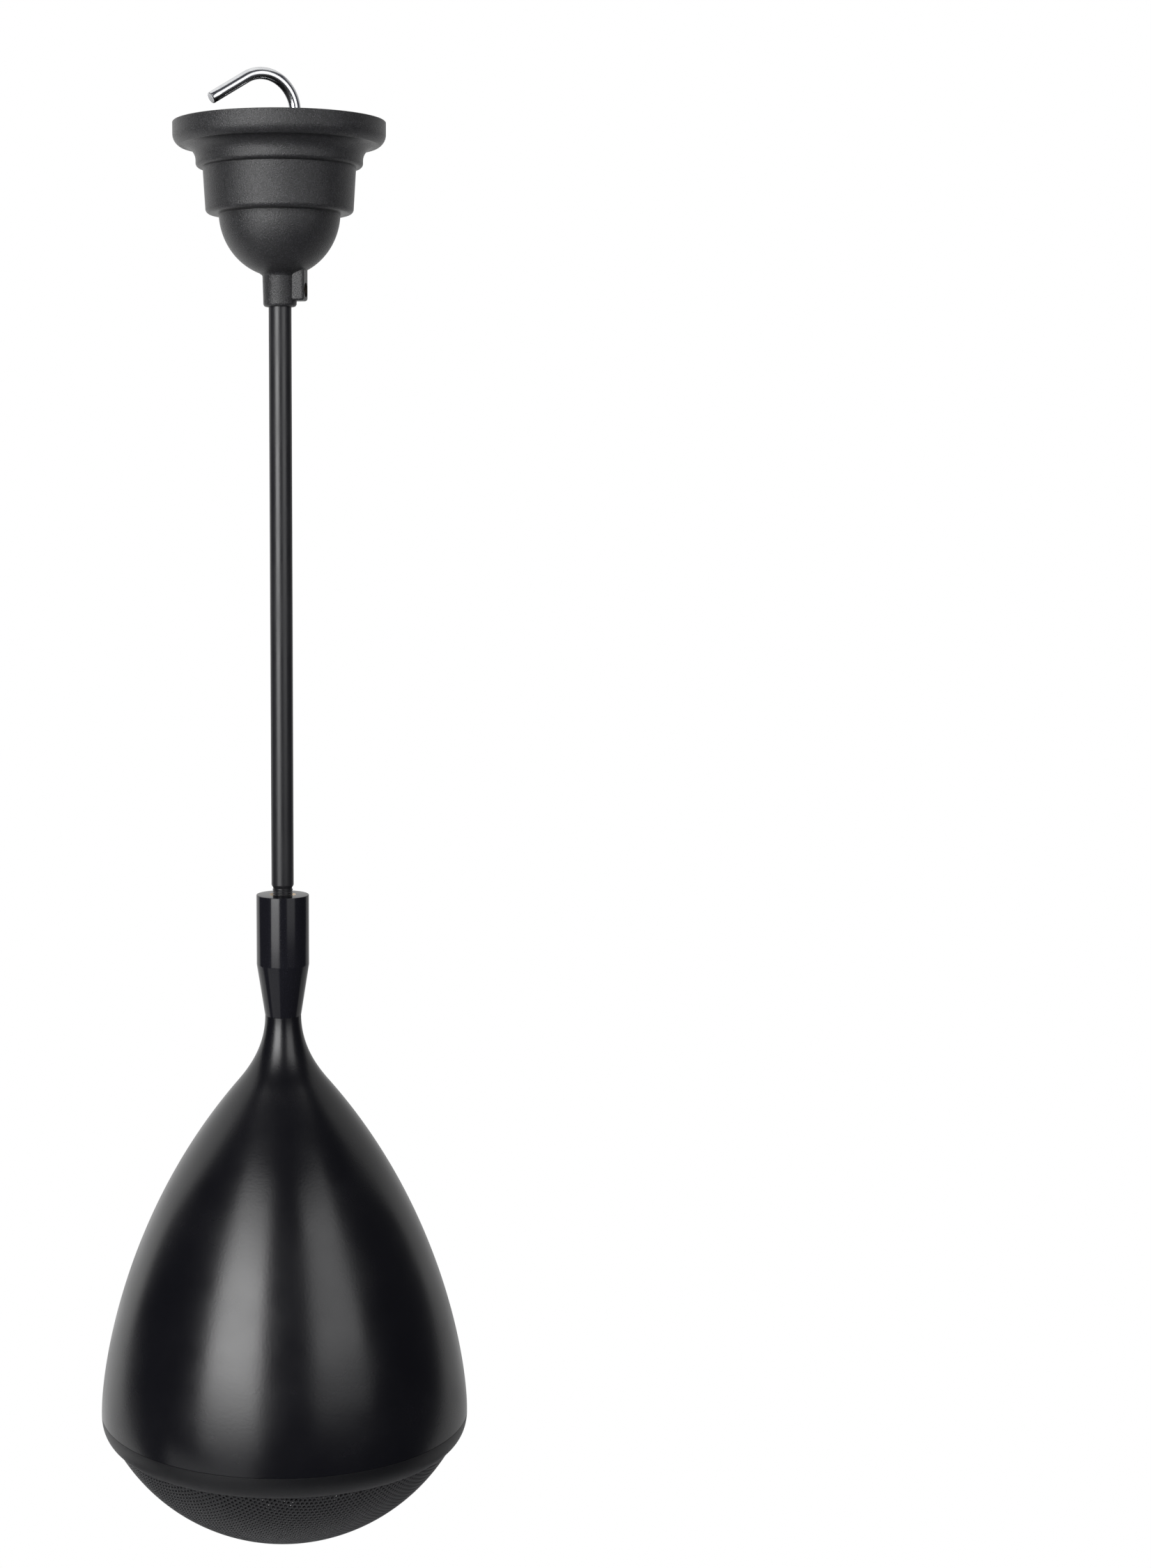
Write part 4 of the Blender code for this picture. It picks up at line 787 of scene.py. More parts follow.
def hook_line():
    """Centre line of the bar, from the shank's end round to the open tip."""
    arch_z = -HOOK_INNER_R
    hook_r = HOOK_INNER_R + ROD_R
    swan_z = arch_z - sqrt((hook_r + SWAN_BEND_R) ** 2 - (HOOK_OFFSET + SWAN_BEND_R) ** 2)
    meet = degrees(asin((arch_z - swan_z) / (hook_r + SWAN_BEND_R)))
    points = [(0, SHANK_END), (0, HOOK_NUT_Z), (0, (HOOK_NUT_Z + swan_z) / 2)]
    points += arc((SWAN_BEND_R, swan_z), SWAN_BEND_R, 180, 180 - meet, 20)
    points += arc((-HOOK_OFFSET, arch_z), hook_r, -meet, 90 + HOOK_LEAD_SLOPE, 90)[1:]
    x, z = points[-1]
    leads = (polar(share * HOOK_LEAD, HOOK_LEAD_SLOPE) for share in (0.25, 0.5, 0.75, 1.0))
    return points + [(x - along, z - down) for along, down in leads]


def make_hook():
    """Bar swept along its line, with the cut end's edge filed."""
    line = [Vector((x, 0, z)) for x, z in hook_line()]
    run = (line[-1] - line[-2]).normalized()
    filed = ((HOOK_TIP_EDGE, ROD_R), (0.35 * HOOK_TIP_EDGE, ROD_R - 0.3 * HOOK_TIP_EDGE),
             (0, ROD_R - HOOK_TIP_EDGE))
    stops = [(point, ROD_R) for point in line[:-1]]
    stops += [(line[-1] - run * back, radius) for back, radius in filed]
    verts, faces = [], []
    for i, (point, radius) in enumerate(stops):
        ahead = stops[min(i + 1, len(stops) - 1)][0] - stops[max(i - 1, 0)][0]
        side = Vector((ahead.z, 0, -ahead.x)).normalized()
        for k in range(TINY_ROUND):
            angle = tau * k / TINY_ROUND
            verts.append(point + radius * (cos(angle) * side + sin(angle) * Vector((0, 1, 0))))
    for i in range(len(stops) - 1):
        faces += band(i * TINY_ROUND, (i + 1) * TINY_ROUND, TINY_ROUND)
    faces += [range(TINY_ROUND), range(len(verts) - TINY_ROUND, len(verts))]
    hook = fitted(mesh_object("hook_rod", verts, faces), "hook", "hook_chrome")
    hook.data.materials.append(sawn_end())
    for face in hook.data.polygons:
        if len(face.vertices) == TINY_ROUND:
            face.material_index = 1


def hexagon_nut(name, flats, low, high, bore_r):
    """Nut with its corners turned off at both faces and its bore countersunk."""
    steps = SMALL_ROUND
    reach = [flats / 2 / cos(remainder(tau * k / steps, pi / 3)) for k in range(steps)]
    face_r = 0.97 * flats / 2
    slope = tan(radians(30))
    rows = []
    for z, side in ((low, 1), (high, -1)):
        face = [(face_r, z)] * steps
        corner = [(r, z + side * (r - face_r) * slope) for r in reach]
        mouth = [(bore_r + NUT_CHAMFER, z)] * steps
        throat = [(bore_r, z + side * NUT_CHAMFER)] * steps
        rows += [throat, mouth, face, corner] if side > 0 else [corner, face, mouth, throat]
    verts = [(r * cos(tau * k / steps), r * sin(tau * k / steps), z)
             for row in rows for k, (r, z) in enumerate(row)]
    faces = []
    for i in range(len(rows)):
        faces += band(i * steps, (i + 1) % len(rows) * steps, steps)
    return mesh_object(name, verts, faces, 20)


def make_hanger():
    make_hook()
    nut = hexagon_nut("hook_lock_nut", HOOK_NUT_FLATS, *span("hook_nut"), ROD_R + SEAT)
    fitted(nut, "hook_nut", "plated_steel")
    spigot_r = BORE_R - SEAT
    hole_r = ROD_R + SEAT
    floor = SHANK_END - SEAT
    cap = turned("stem_end_cap", soften([
        (0, CAP_FOOT), (spigot_r, CAP_FOOT, 0.0005), (spigot_r, TUBE_TOP + SEAT),
        (TUBE_R, TUBE_TOP + SEAT, TOUCH), (TUBE_R, CAP_Z, 0.0007), (hole_r, CAP_Z, TOUCH),
        (hole_r, floor), (0, floor)]), TINY_ROUND)
    fitted(cap, "stem_cap", "plated_steel")


# Stem

def thread_depth(z, angle, low, high):
    """How far a thread's groove goes in at a height and an angle, fading out at both ends."""
    phase = (z / THREAD_PITCH - angle / tau) % 1.0
    fade = max(0.0, min(1.0, (z - low) / THREAD_PITCH, (high - z) / (0.4 * THREAD_PITCH)))
    return THREAD_H * fade * (0.5 - 0.5 * cos(tau * phase)) ** 0.8


def make_stem():
    """Tube with the thread that shows under its chamfer, and the bush in its side hole."""
    shoulder = CONNECTOR_TOP + THREAD_SHOWN
    top = shoulder - TUBE_CHAMFER
    groove_top = top - THREAD_RELIEF
    low = CONNECTOR_TOP - 2 * THREAD_PITCH
    rows = [(THREAD_R, low + (groove_top - low) * i / THREAD_ROWS) for i in range(THREAD_ROWS + 1)]
    relief = [(THREAD_R - THREAD_H, top - 0.8 * THREAD_RELIEF), (THREAD_R - THREAD_H, top)]
    chamfer = soften([(TUBE_R - 0.0011, top), (TUBE_R, shoulder - 0.0004, 0.0008), (TUBE_R, TUBE_TOP)])
    outline = [(BORE_R, TUBE_TOP), (BORE_R, TUBE_END), (THREAD_R, TUBE_END)] + rows + relief
    outline += chamfer[:-1] + [(TUBE_R, TUBE_TOP - BREAK), (TUBE_R - BREAK, TUBE_TOP)]

    def shape(r, z, angle):
        if r == THREAD_R and low < z < groove_top:
            return r - thread_depth(z, angle, low, groove_top)
        return r

    tube = turned("stem_pipe", outline, SMALL_ROUND, shape)
    lie = Matrix.Translation((0, 0, sum(span("cable_grommet")) / 2)) @ spin(-90, "X")
    drill = prism("drill", circle(0, 0, CABLE_HOLE_R), 0, 2 * TUBE_R)
    fitted(combined(tube, moved(drill, lie)), "stem_tube", "stem_lacquer")
    neck_r = CABLE_HOLE_R - SEAT
    flange = TUBE_R + SEAT
    outside = flange + GROMMET_FLANGE_H
    bush = turned("cable_bush", soften([
        (GROMMET_BORE_R, BORE_R, TOUCH), (neck_r, BORE_R), (neck_r, flange), (GROMMET_FLANGE_R, flange),
        (GROMMET_FLANGE_R, outside, 0.0006), (GROMMET_BORE_R, outside, 0.0006)]), TINY_ROUND)
    fitted(moved(bush, lie), "cable_grommet", "black_rubber")


# Canopy

def canopy_outer():
    """Outline of the outside, from the rim that meets the ceiling to the collar's end."""
    line = [(RIM_R - BREAK, CANOPY_TOP), (RIM_R, CANOPY_TOP - BREAK)]
    line += arc((RIM_R - RIM_EDGE, RIM_EDGE_TOP), RIM_EDGE, 0, -RIM_EDGE_TURN, 14)
    line += arc((WAIST_R + COVE_R, RIM_LOW - COVE_R), COVE_R, 90, 180, 18)
    line += arc((WAIST_R - WAIST_EDGE, DRUM_Z + WAIST_EDGE), WAIST_EDGE, 0, -90, 8)
    line += [(DRUM_R + 0.0002, DRUM_Z - 0.1 * WAIST_EDGE), (DRUM_R, DRUM_Z - 0.4 * WAIST_EDGE)]
    line += arc((DRUM_R - DRUM_TAPER - DRUM_EDGE, DRUM_LOW + DRUM_EDGE), DRUM_EDGE, 0, -90, 10)
    stop = degrees(acos((COLLAR_R + COLLAR_EDGE) / BOWL_R))
    start = degrees(asin(BOWL_RISE / BOWL_H))
    line += [(BOWL_R + 0.0002, DRUM_LOW - 0.1 * BOWL_STEP)]
    line += [(BOWL_R * r, BOWL_Z + BOWL_RISE + BOWL_H * z) for r, z in arc((0, 0), 1, -start, -stop, 40)]
    line += [(COLLAR_R + 0.0002, line[-1][1] - 0.7 * COLLAR_EDGE), (COLLAR_R, line[-1][1] - COLLAR_EDGE)]
    end_r = COLLAR_R - COLLAR_TAPER
    return line + arc((end_r - COLLAR_EDGE, COLLAR_END + COLLAR_EDGE), COLLAR_EDGE, 0, -90, 8)


def canopy_inner():
    """Outline of the inside, from the tube's hole up to the rim."""
    hole_r = TUBE_R + SLIDE_FIT
    bowl_r = BOWL_R - BOWL_WALL
    start = degrees(asin(CANOPY_FLOOR / BOWL_ROOM_H))
    line = [(hole_r + BREAK, COLLAR_END), (hole_r, COLLAR_END + BREAK), (hole_r, BOWL_Z - CANOPY_FLOOR)]
    line += [(bowl_r * r, BOWL_Z + BOWL_ROOM_H * z) for r, z in arc((0, 0), 1, -start, 0, 24)]
    drum_in = DRUM_R - CANOPY_WALL
    line += [(bowl_r, DRUM_LOW + CANOPY_WALL), (drum_in - DRUM_TAPER, DRUM_LOW + CANOPY_WALL),
             (drum_in, DRUM_Z + CANOPY_WALL), (WAIST_R - CANOPY_WALL, DRUM_Z + 1.6 * CANOPY_WALL)]
    line += arc((WAIST_R + COVE_R, RIM_LOW - COVE_R), COVE_R + CANOPY_WALL, 172, 90, 12)
    return line + [(RIM_R - CANOPY_WALL, RIM_EDGE_TOP), (RIM_R - CANOPY_WALL, CANOPY_TOP)]


def rounded_block(name, low, high, edge):
    """Box between two corners, with every edge rounded over."""
    bm = bmesh.new()
    bmesh.ops.create_cube(bm, size=1.0)
    bmesh.ops.scale(bm, verts=bm.verts, vec=high - low)
    bmesh.ops.bevel(bm, geom=bm.edges[:], offset=edge, segments=5, profile=0.5, affect="EDGES")
    bmesh.ops.translate(bm, verts=bm.verts, vec=(low + high) / 2)
    mesh = bpy.data.meshes.new(name)
    bm.to_mesh(mesh)
    bm.free()
    return placed(name, mesh)


def along_boss():
    """Matrix that lays a piece turned about Z along the clamp boss."""
    return spin(BOSS_TURN) @ Matrix.Translation((0, 0, CLAMP_Z)) @ spin(90, "Y")


def make_canopy():
    canopy = turned("canopy_moulding", canopy_outer() + canopy_inner(), ROUND)
    boss = rounded_block("boss", Vector((BOSS_START, -BOSS_W / 2, BOSS_Z)),
                         Vector((BOSS_REACH, BOSS_W / 2, BOSS_Z + BOSS_H)), BOSS_EDGE)
    combined(canopy, moved(boss, spin(BOSS_TURN)), "UNION")
    seat = BOSS_REACH - INSERT_SUNK - INSERT_L - SEAT
    for radius, depth in ((INSERT_R + SEAT, seat), (CLAMP_SCREW_R + SEAT, TUBE_R)):
        drill = prism("drill", circle(0, 0, radius), depth, 2 * BOSS_REACH)
        combined(canopy, moved(drill, along_boss()))
    fitted(canopy, "canopy", "canopy_plastic", "canopy")
    make_clamp(seat + SEAT)


def make_clamp(seat):
    """Knurled insert and the set screw with its hexagon socket."""
    def knurled(r, z, angle):
        return r - KNURL_H if r > INSERT_R - NOTHING and sin(KNURL_COUNT * angle) > 0 else r

    bore = CLAMP_SCREW_R + SEAT
    insert = turned("threaded_insert", soften([
        (bore, seat, TOUCH), (INSERT_R, seat, 0.0004), (INSERT_R, seat + INSERT_L, 0.0004),
        (bore, seat + INSERT_L, BREAK)]), TINY_ROUND, knurled)
    fitted(moved(insert, along_boss()), "clamp_insert", "turned_brass", "canopy")
    tip = TUBE_R + SLIDE_FIT
    back = tip + CLAMP_SCREW_L
    screw = turned("set_screw", soften([
        (0, tip), (CLAMP_SCREW_R, tip, 0.0006), (CLAMP_SCREW_R, back, BREAK), (0, back)]), TINY_ROUND)
    socket = prism("key", circle(0, 0, CLAMP_SOCKET_R, 6), back - CLAMP_SOCKET_L, 2 * back)
    fitted(moved(combined(screw, socket), along_boss()), "clamp_screw", "plated_steel", "canopy")


# Neck

def make_neck_connector():
    """Turned coupling: flat top with a countersunk thread, straight body and tapered lower end."""
    bore_r = THREAD_R + SEAT
    mouth_r = bore_r + CONNECTOR_MOUTH
    shoulder = TUBE_END - SEAT
    top = CONNECTOR_TOP - CONNECTOR_MOUTH
    groove = [(bore_r, top - CONNECTOR_GROOVE_L * i / CONNECTOR_GROOVE_ROWS)
              for i in range(CONNECTOR_GROOVE_ROWS + 1)]
    low = groove[-1][1]
    outline = soften([
        (BORE_R, shoulder), (BORE_R, STUB_END, TOUCH), (STUB_R, STUB_END, 0.0006), (STUB_R, NECK_Z),
        (NECK_R, NECK_Z, NECK_EDGE), (CONNECTOR_R, CONNECTOR_TOP - CONNECTOR_STRAIGHT, CONNECTOR_SHOULDER),
        (CONNECTOR_R, CONNECTOR_TOP, TURNED_EDGE), (mouth_r, CONNECTOR_TOP)], 6)
    outline += groove + [(bore_r, shoulder)]

    def shape(r, z, angle):
        if r == bore_r and low < z <= top:
            return r + 0.7 * thread_depth(z, angle, low, top + THREAD_PITCH)
        return r

    coupler = turned("neck_coupler", outline, SMALL_ROUND, shape)
    fitted(coupler, "neck_connector", "neck_lacquer")
    coupler.data.materials.append(BARE_THREAD)
    for face in coupler.data.polygons:
        if Vector(face.center[:2]).length < mouth_r and face.center.z > low:
            face.material_index = 1


# Housing

def housing_outer():
    """Outline from the neck down to the seam with the ring: a flare, then the bell."""
    lean = Vector((sin(radians(THROAT_LEAN)), -cos(radians(THROAT_LEAN))))
    turn = Vector((THROAT_R, HOUSING_TOP - THROAT_H))
    flare = bezier((NECK_R, HOUSING_TOP), (NECK_R, HOUSING_TOP - NECK_PULL),
                   turn - THROAT_PULL_UP * lean, turn, 36)
    bell = bezier(turn, turn + THROAT_PULL_DOWN * lean,
                  (HOUSING_R, SEAM_Z + SKIRT_PULL), (HOUSING_R, SEAM_Z), 80)
    return flare + bell[1:]


def make_housing():
    """Bell with a thick neck and four pillars inside."""
    outer = housing_outer()
    seat_z = HOUSING_TOP - NECK_SEAT
    wall = inset(outer, HOUSING_WALL)
    inner = [(at_height(wall, seat_z), seat_z)]
    inner += [(r, z) for r, z in wall[::3] if SEAM_Z + HOUSING_WALL < z < seat_z - HOUSING_WALL]
    inner += [(HOUSING_R - HOUSING_WALL, SEAM_Z)]
    hole_r = STUB_R + SEAT
    outline = [(hole_r, HOUSING_TOP), (NECK_R - NECK_EDGE, HOUSING_TOP), (NECK_R, HOUSING_TOP - NECK_EDGE)]
    outline += outer[1:-1] + [(HOUSING_R, SEAM_Z + SEAM_EDGE), (HOUSING_R - SEAM_EDGE, SEAM_Z)]
    outline += inner[::-1] + [(hole_r, seat_z)]
    housing = turned("housing_bell", outline, ROUND)
    column = arc((RIM_SCREW_R, 0), PILLAR_R, 90, 270, 24) + [(HOUSING_R, -PILLAR_R), (HOUSING_R, PILLAR_R)]
    pillars = prism("pillars", column, SEAM_Z, SEAM_Z + PILLAR_H, RIM_SCREW_TURNS)
    within = [(r, z) for r, z in inset(outer, HOUSING_WALL / 2) if z < seat_z] + [(0, SEAM_Z), (0, seat_z)]
    combined(pillars, turned("room", within, ROUND), "INTERSECT")
    combined(housing, pillars, "UNION")
    screw_holes(housing, RIM_SCREW_R, RIM_SCREW_TURNS, SEAM_Z - PLATE_T, SEAM_Z + BAFFLE_SCREW_L)
    fitted(housing, "housing", "housing_lacquer")


def make_ring():
    """Matte ring and the plate behind it, with the screw holes."""
    top = SEAM_Z - SEAM_GAP
    curve = bezier((HOUSING_R, top - SEAM_EDGE), (HOUSING_R, RING_TOP - RING_CURVE_TOP),
                   (RING_LIP_R + RING_CURVE_LOW * 0.8, LIP_Z + RING_CURVE_LOW * 0.6), (RING_LIP_R, LIP_Z), 28)
    inner = RING_LIP_R - RING_LIP_W
    ring = turned("trim_ring", [(HOUSING_R - SEAM_EDGE, top)] + curve + [
        (inner, LIP_Z), (inner, PLATE_Z), (CUTOUT_R, PLATE_Z), (CUTOUT_R, top)], ROUND)
    for radius, turns in ((DRIVER_SCREW_R, DRIVER_SCREW_TURNS), (RIM_SCREW_R, RIM_SCREW_TURNS)):
        screw_holes(ring, radius, turns, PLATE_Z - PLATE_T, RING_TOP + PLATE_T)
    fitted(ring, "baffle_ring", "ring_plastic")


# Grille

def on_dome(x, y, sunk=0.0):
    """Carry a point of the flat sheet onto the sphere with areas kept, and past its rim up the skirt."""
    flat = hypot(x, y)
    if flat > SHEET_R:
        across = (SKIRT_R - sunk) / flat
        return (x * across, y * across, LIP_Z + flat - SHEET_R)
    if flat < NOTHING:
        return (0, 0, DOME_CENTRE - DOME_R + sunk)
    turn = 2 * asin(min(1.0, flat / (2 * DOME_R)))
    across = (DOME_R - sunk) * sin(turn) / flat
    return (x * across, y * across, DOME_CENTRE - (DOME_R - sunk) * cos(turn))


def hole_centres():
    """Staggered rows over the flat sheet."""
    limit = SHEET_R + SKIRT_PERFORATED
    lay = Matrix.Rotation(radians(GRILLE_TURN), 2)
    count = int(limit / GRILLE_PITCH) * 2
    centres = []
    for row in range(-count, count + 1):
        for column in range(-count, count + 1):
            x = GRILLE_PITCH * (column + 0.5 * (row % 2))
            y = GRILLE_PITCH * sqrt(0.75) * row
            if hypot(x, y) < limit:
                centres.append(lay @ Vector((x, y)))
    return centres


def perforated_face(centres, sides, hole_r, sunk):
    """Triangles of one face of the sheet round its holes, and its points on the dome."""
    points = [Vector(p) for p in circle(0, 0, SHEET_R + SHEET_MARGIN, ROUND)]
    edges = [(i, (i + 1) % ROUND) for i in range(ROUND)]
    for centre in centres:
        base = len(points)
        points += [centre + Vector((hole_r * cos(a), hole_r * sin(a)))
                   for a in (tau * k / sides for k in range(sides))]
        edges += [(base + k, base + (k + 1) % sides) for k in range(sides)]
    kept = []
    for triangle in delaunay_2d_cdt(points, edges, [], 0, NOTHING)[2]:
        holes = {(i - ROUND) // sides for i in triangle}
        if len(holes) > 1 or min(triangle) < ROUND:
            kept.append(triangle)
    return [on_dome(x, y, sunk) for x, y in points], kept


def hole_wall():
    """Triangles between the two rims of a hole, as (side, index) corners, walking round both."""
    triangles = []
    i = j = 0
    while i < FRONT_SIDES or j < BACK_SIDES:
        here = (0, i % FRONT_SIDES)
        behind = (1, j % BACK_SIDES)
        if i < FRONT_SIDES and (j == BACK_SIDES or (i + 1) / FRONT_SIDES <= (j + 1) / BACK_SIDES):
            i += 1
            triangles.append((here, (0, i % FRONT_SIDES), behind))
        else:
            j += 1
            triangles.append((here, (1, j % BACK_SIDES), behind))
    return triangles


def make_grille():
    """Perforated dome: two faces, the walls of every hole, and a skirt that stands in the ring."""
    centres = hole_centres()
    front, front_faces = perforated_face(centres, FRONT_SIDES, GRILLE_HOLE_R, 0.0)
    behind_r = HOLE_TAPER * GRILLE_HOLE_R / cos(pi / BACK_SIDES)
    back, back_faces = perforated_face(centres, BACK_SIDES, behind_r, GRILLE_T)
    shift = len(front)
    verts = front + back
    faces = front_faces + [[i + shift for i in face] for face in back_faces]
    wall = hole_wall()
    for index in range(len(centres)):
        starts = (ROUND + index * FRONT_SIDES, shift + ROUND + index * BACK_SIDES)
        faces += [[starts[side] + k for side, k in corners] for corners in wall]
    tops = []
    for radius in (SKIRT_R, SKIRT_R - GRILLE_T):
        tops.append(len(verts))
        verts += [(x, y, SKIRT_TOP) for x, y in circle(0, 0, radius, ROUND)]
    rings = [0, *tops, shift]
    for a, b in zip(rings, rings[1:]):
        faces += band(a, b, ROUND)
    fitted(mesh_object("perforated_dome", verts, faces, 40), "grille", "grille_powder_coat")


# Driver, as far as it shows through the grille

def make_cone():
    """Paper cone, a little bulged, from its small end at the former to its rim."""
    small = FORMER_OUT + SEAT + CONE_T
    lean = Vector((CONE_R - small, -CONE_H))
    out = Vector((lean.y, -lean.x)).normalized() * CONE_BULGE
    start = Vector((small, FLANGE_FRONT + SEAT + CONE_H))
    line = bezier(start, start + lean / 3 - out, start + lean * 2 / 3 - out, start + lean, 24)
    fitted(turned("paper_cone", line + inset(line, CONE_T)[::-1]), "cone", "cone_paper", "cone")


def make_surround():
    """Half-round rubber roll, which bends between the cone and the frame."""
    face = FLANGE_FRONT - SEAT
    back = face - SURROUND_T
    inner = CONE_R - SURROUND_GLUE
    start = CONE_R + ROLL_GAP
    end = BASKET_MOUTH_R - ROLL_EDGE
    outer = end + SURROUND_LIP
    roll = (end - start) / 2
    middle = ((start + end) / 2, face)
    line = [(inner, face)] + arc(middle, roll, 180, 360, 24) + [(outer, face)]
    under = [(r, min(z, back)) for r, z in arc(middle, roll + SURROUND_T, 174, 366, 24)]
    under = [(inner, back)] + under + [(outer, back)]
    surround = fitted(turned("rubber_surround", line + under[::-1]), "surround", "black_rubber", None)
    blend_radially(surround, start, end)


def make_spider():
    """Corrugated cloth disc, which bends between the voice coil's former and the frame."""
    top = SPIDER_SEAT_Z - SEAT
    inner = FORMER_OUT + SEAT
    edge = 2 * SPIDER_T
    first = inner + 2 * edge
    last = TOP_PLATE_R - edge
    line = [(inner, top)]
    for i in range(SPIDER_STEPS + 1):
        share = i / SPIDER_STEPS
        rise = -SPIDER_WAVE_H * sin(tau * SPIDER_WAVES * share)
        line.append((first + (last - first) * share, top + rise))
    line.append((SPIDER_SEAT_R - edge, top))
    under = [(r, z - SPIDER_T) for r, z in line]
    spider = fitted(turned("cloth_spider", line + under[::-1]), "spider", "woven_cloth", None)
    blend_radially(spider, first, last)


def blend_radially(obj, inner, outer):
    """Let a disc follow the cone at its inner edge and the frame at its outer one."""
    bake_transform(obj, "hanger", "cone", start=(outer, 0, 0), end=(inner, 0, 0))
    weights = obj.data.attributes["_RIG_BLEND"]
    for vert, entry in zip(obj.data.vertices, weights.data):
        share = (outer - Vector(vert.co[:2]).length) / (outer - inner)
        t = min(1.0, max(0.0, share))
        entry.value = t * t * (3 - 2 * t)


def pan_screw(name, seat_z, length, radius, turn):
    """Screw that goes up from its seat, with a low domed head and a cross recess."""
    low = seat_z - SCREW_HEAD_H
    tip = seat_z + length
    screw = turned(name, soften([
        (0, low), (SCREW_HEAD_R, low, 0.0015), (SCREW_HEAD_R, seat_z, 0.0001), (SCREW_R, seat_z),
        (SCREW_R, tip - SCREW_R), (0.4 * SCREW_R, tip), (0, tip)], 6), TINY_ROUND)
    cross, arm = [], [(CROSS_L, -CROSS_W), (CROSS_L, CROSS_W), (CROSS_W, CROSS_W)]
    for _ in range(4):
        cross += arm
        arm = [(-y, x) for x, y in arm]
    combined(screw, prism("driver_bit", cross, low - SCREW_HEAD_H, seat_z - 0.45 * SCREW_HEAD_H))
    return moved(screw, spin(turn) @ Matrix.Translation((radius, 0, 0)) @ spin(3 * turn))


def make_screws():
    for kind, radius, turns, seat, length in (
            ("baffle", RIM_SCREW_R, RIM_SCREW_TURNS, PLATE_Z - SEAT, BAFFLE_SCREW_L),
            ("driver", DRIVER_SCREW_R, DRIVER_SCREW_TURNS, FLANGE_FRONT - SEAT, DRIVER_SCREW_L)):
        for index, turn in enumerate(turns, 1):
            screw = pan_screw(f"{kind}_cross_screw_{index}", seat, length, radius, turn)
            fitted(screw, f"{kind}_screw_{index}", "plated_steel")


def make_basket():
    """Pressed frame with its windows and screw holes."""
    wall = BASKET_WALL
    yoke_r = POLE_R + GAP_W + wall
    yoke_z = BASKET_BACK - wall
    basket = turned("driver_basket", soften([
        (FLANGE_R, FLANGE_Z, BREAK), (FLANGE_R, FLANGE_FRONT, 0.0008), (BASKET_MOUTH_R, FLANGE_FRONT, 0.0006),
        (BASKET_MOUTH_R - wall, FLANGE_Z + wall, 0.002), (SPIDER_SEAT_R, SPIDER_SEAT_Z, 0.001),
        (TOP_PLATE_R, SPIDER_SEAT_Z, 0.0004), (TOP_PLATE_R, yoke_z, 0.001), (yoke_r, yoke_z, BREAK),
        (yoke_r, BASKET_BACK, BREAK), (TOP_PLATE_R + wall, BASKET_BACK, 0.0015),
        (TOP_PLATE_R + wall, SPIDER_SEAT_Z + wall, 0.001),
        (SPIDER_SEAT_R + wall, SPIDER_SEAT_Z + wall, 0.0015),
        (BASKET_SIDE_R, FLANGE_Z + 2 * wall, 0.002), (BASKET_SIDE_R, FLANGE_Z)]))
    half = SPIDER_SEAT_R * sin(pi / WINDOW_COUNT) - ARM_W / 2
    window = [(TOP_PLATE_R, -half), (FLANGE_R, -half), (FLANGE_R, half), (TOP_PLATE_R, half)]
    turns = [360 / WINDOW_COUNT * i for i in range(WINDOW_COUNT)]
    combined(basket, prism("windows", window, FLANGE_Z + 3.5 * wall, SPIDER_SEAT_Z - 2 * wall, turns))
    screw_holes(basket, DRIVER_SCREW_R, DRIVER_SCREW_TURNS, FLANGE_FRONT - PLATE_T, FLANGE_Z + PLATE_T)
    fitted(basket, "basket", "frame_steel")


def make_tweeter():
    """Small dome unit with a stepped front."""
    floor = TWEETER_Z + TWEETER_CUP_H
    cup_r = TWEETER_DOME_R + SEAT
    body = turned("tweeter_housing", soften([
        (0, TWEETER_BACK_Z), (0, floor), (cup_r, floor), (cup_r, TWEETER_Z + 0.0035, 0.0004),
        (TWEETER_R - 0.0026, TWEETER_Z + 0.0008, 0.0006), (TWEETER_R - 0.0018, TWEETER_Z, BREAK),
        (TWEETER_R, TWEETER_Z + 0.0010, 0.0004), (TWEETER_R, TWEETER_BACK_Z - 0.0045, 0.001),
        (TWEETER_R - 0.0050, TWEETER_BACK_Z, 0.001)]))
    fitted(body, "tweeter_body", "ring_plastic")
    height = TWEETER_DOME_H
    radius = (TWEETER_DOME_R ** 2 + height ** 2) / (2 * height)
    spread = degrees(asin(TWEETER_DOME_R / radius))
    centre = (0, TWEETER_Z + TWEETER_DOME_SUNK + radius - height)
    skin = arc(centre, radius, -90, -90 + spread, 24)
    skin += arc(centre, radius - TWEETER_DOME_T, -90 + spread, -90, 24)
    fitted(turned("tweeter_diaphragm", skin), "tweeter_dome", "woven_cloth", finish=GREY_SILK)


def dress_carried_nodes():
    """Give every solid that stays its own finish, from its slot in the record."""
    for part in frame["record"]["subparts"]:
        materials = frame["nodes"][part["node"]].data.materials
        materials.clear()
        materials.append(FINISHES[part["material_slot"]])


# Studio

def panel(name, verts, faces, material):
    obj = mesh_object(name, verts, faces)
    obj.data.materials.append(material)
    return obj


def studio_white(name, left, right):
    """Shines white for the camera, less in reflections, and dimly for everything else.

    Left and right are the strengths that reflections see at the camera's two sides."""
    finish = Finish(name)
    across = finish.node("VectorMath", {"operation": "DOT_PRODUCT"},
                         {0: finish.coordinates(), 1: (*polar(1.0, SIDEWAYS), 0.0)}, "Value")
    side = finish.ramp(across * (0.5 / BACKDROP_R) + 0.5, (0.2, 0.0), (0.8, 1.0))
    mirrored = finish.mix(side, finish.glow(left), finish.glow(right))
    lit = finish.mix(finish.ray("Glossy"), finish.glow(DIM_SCREEN), mirrored)
    return finish.show(finish.mix(finish.ray("Camera"), lit, finish.glow(1.0)))


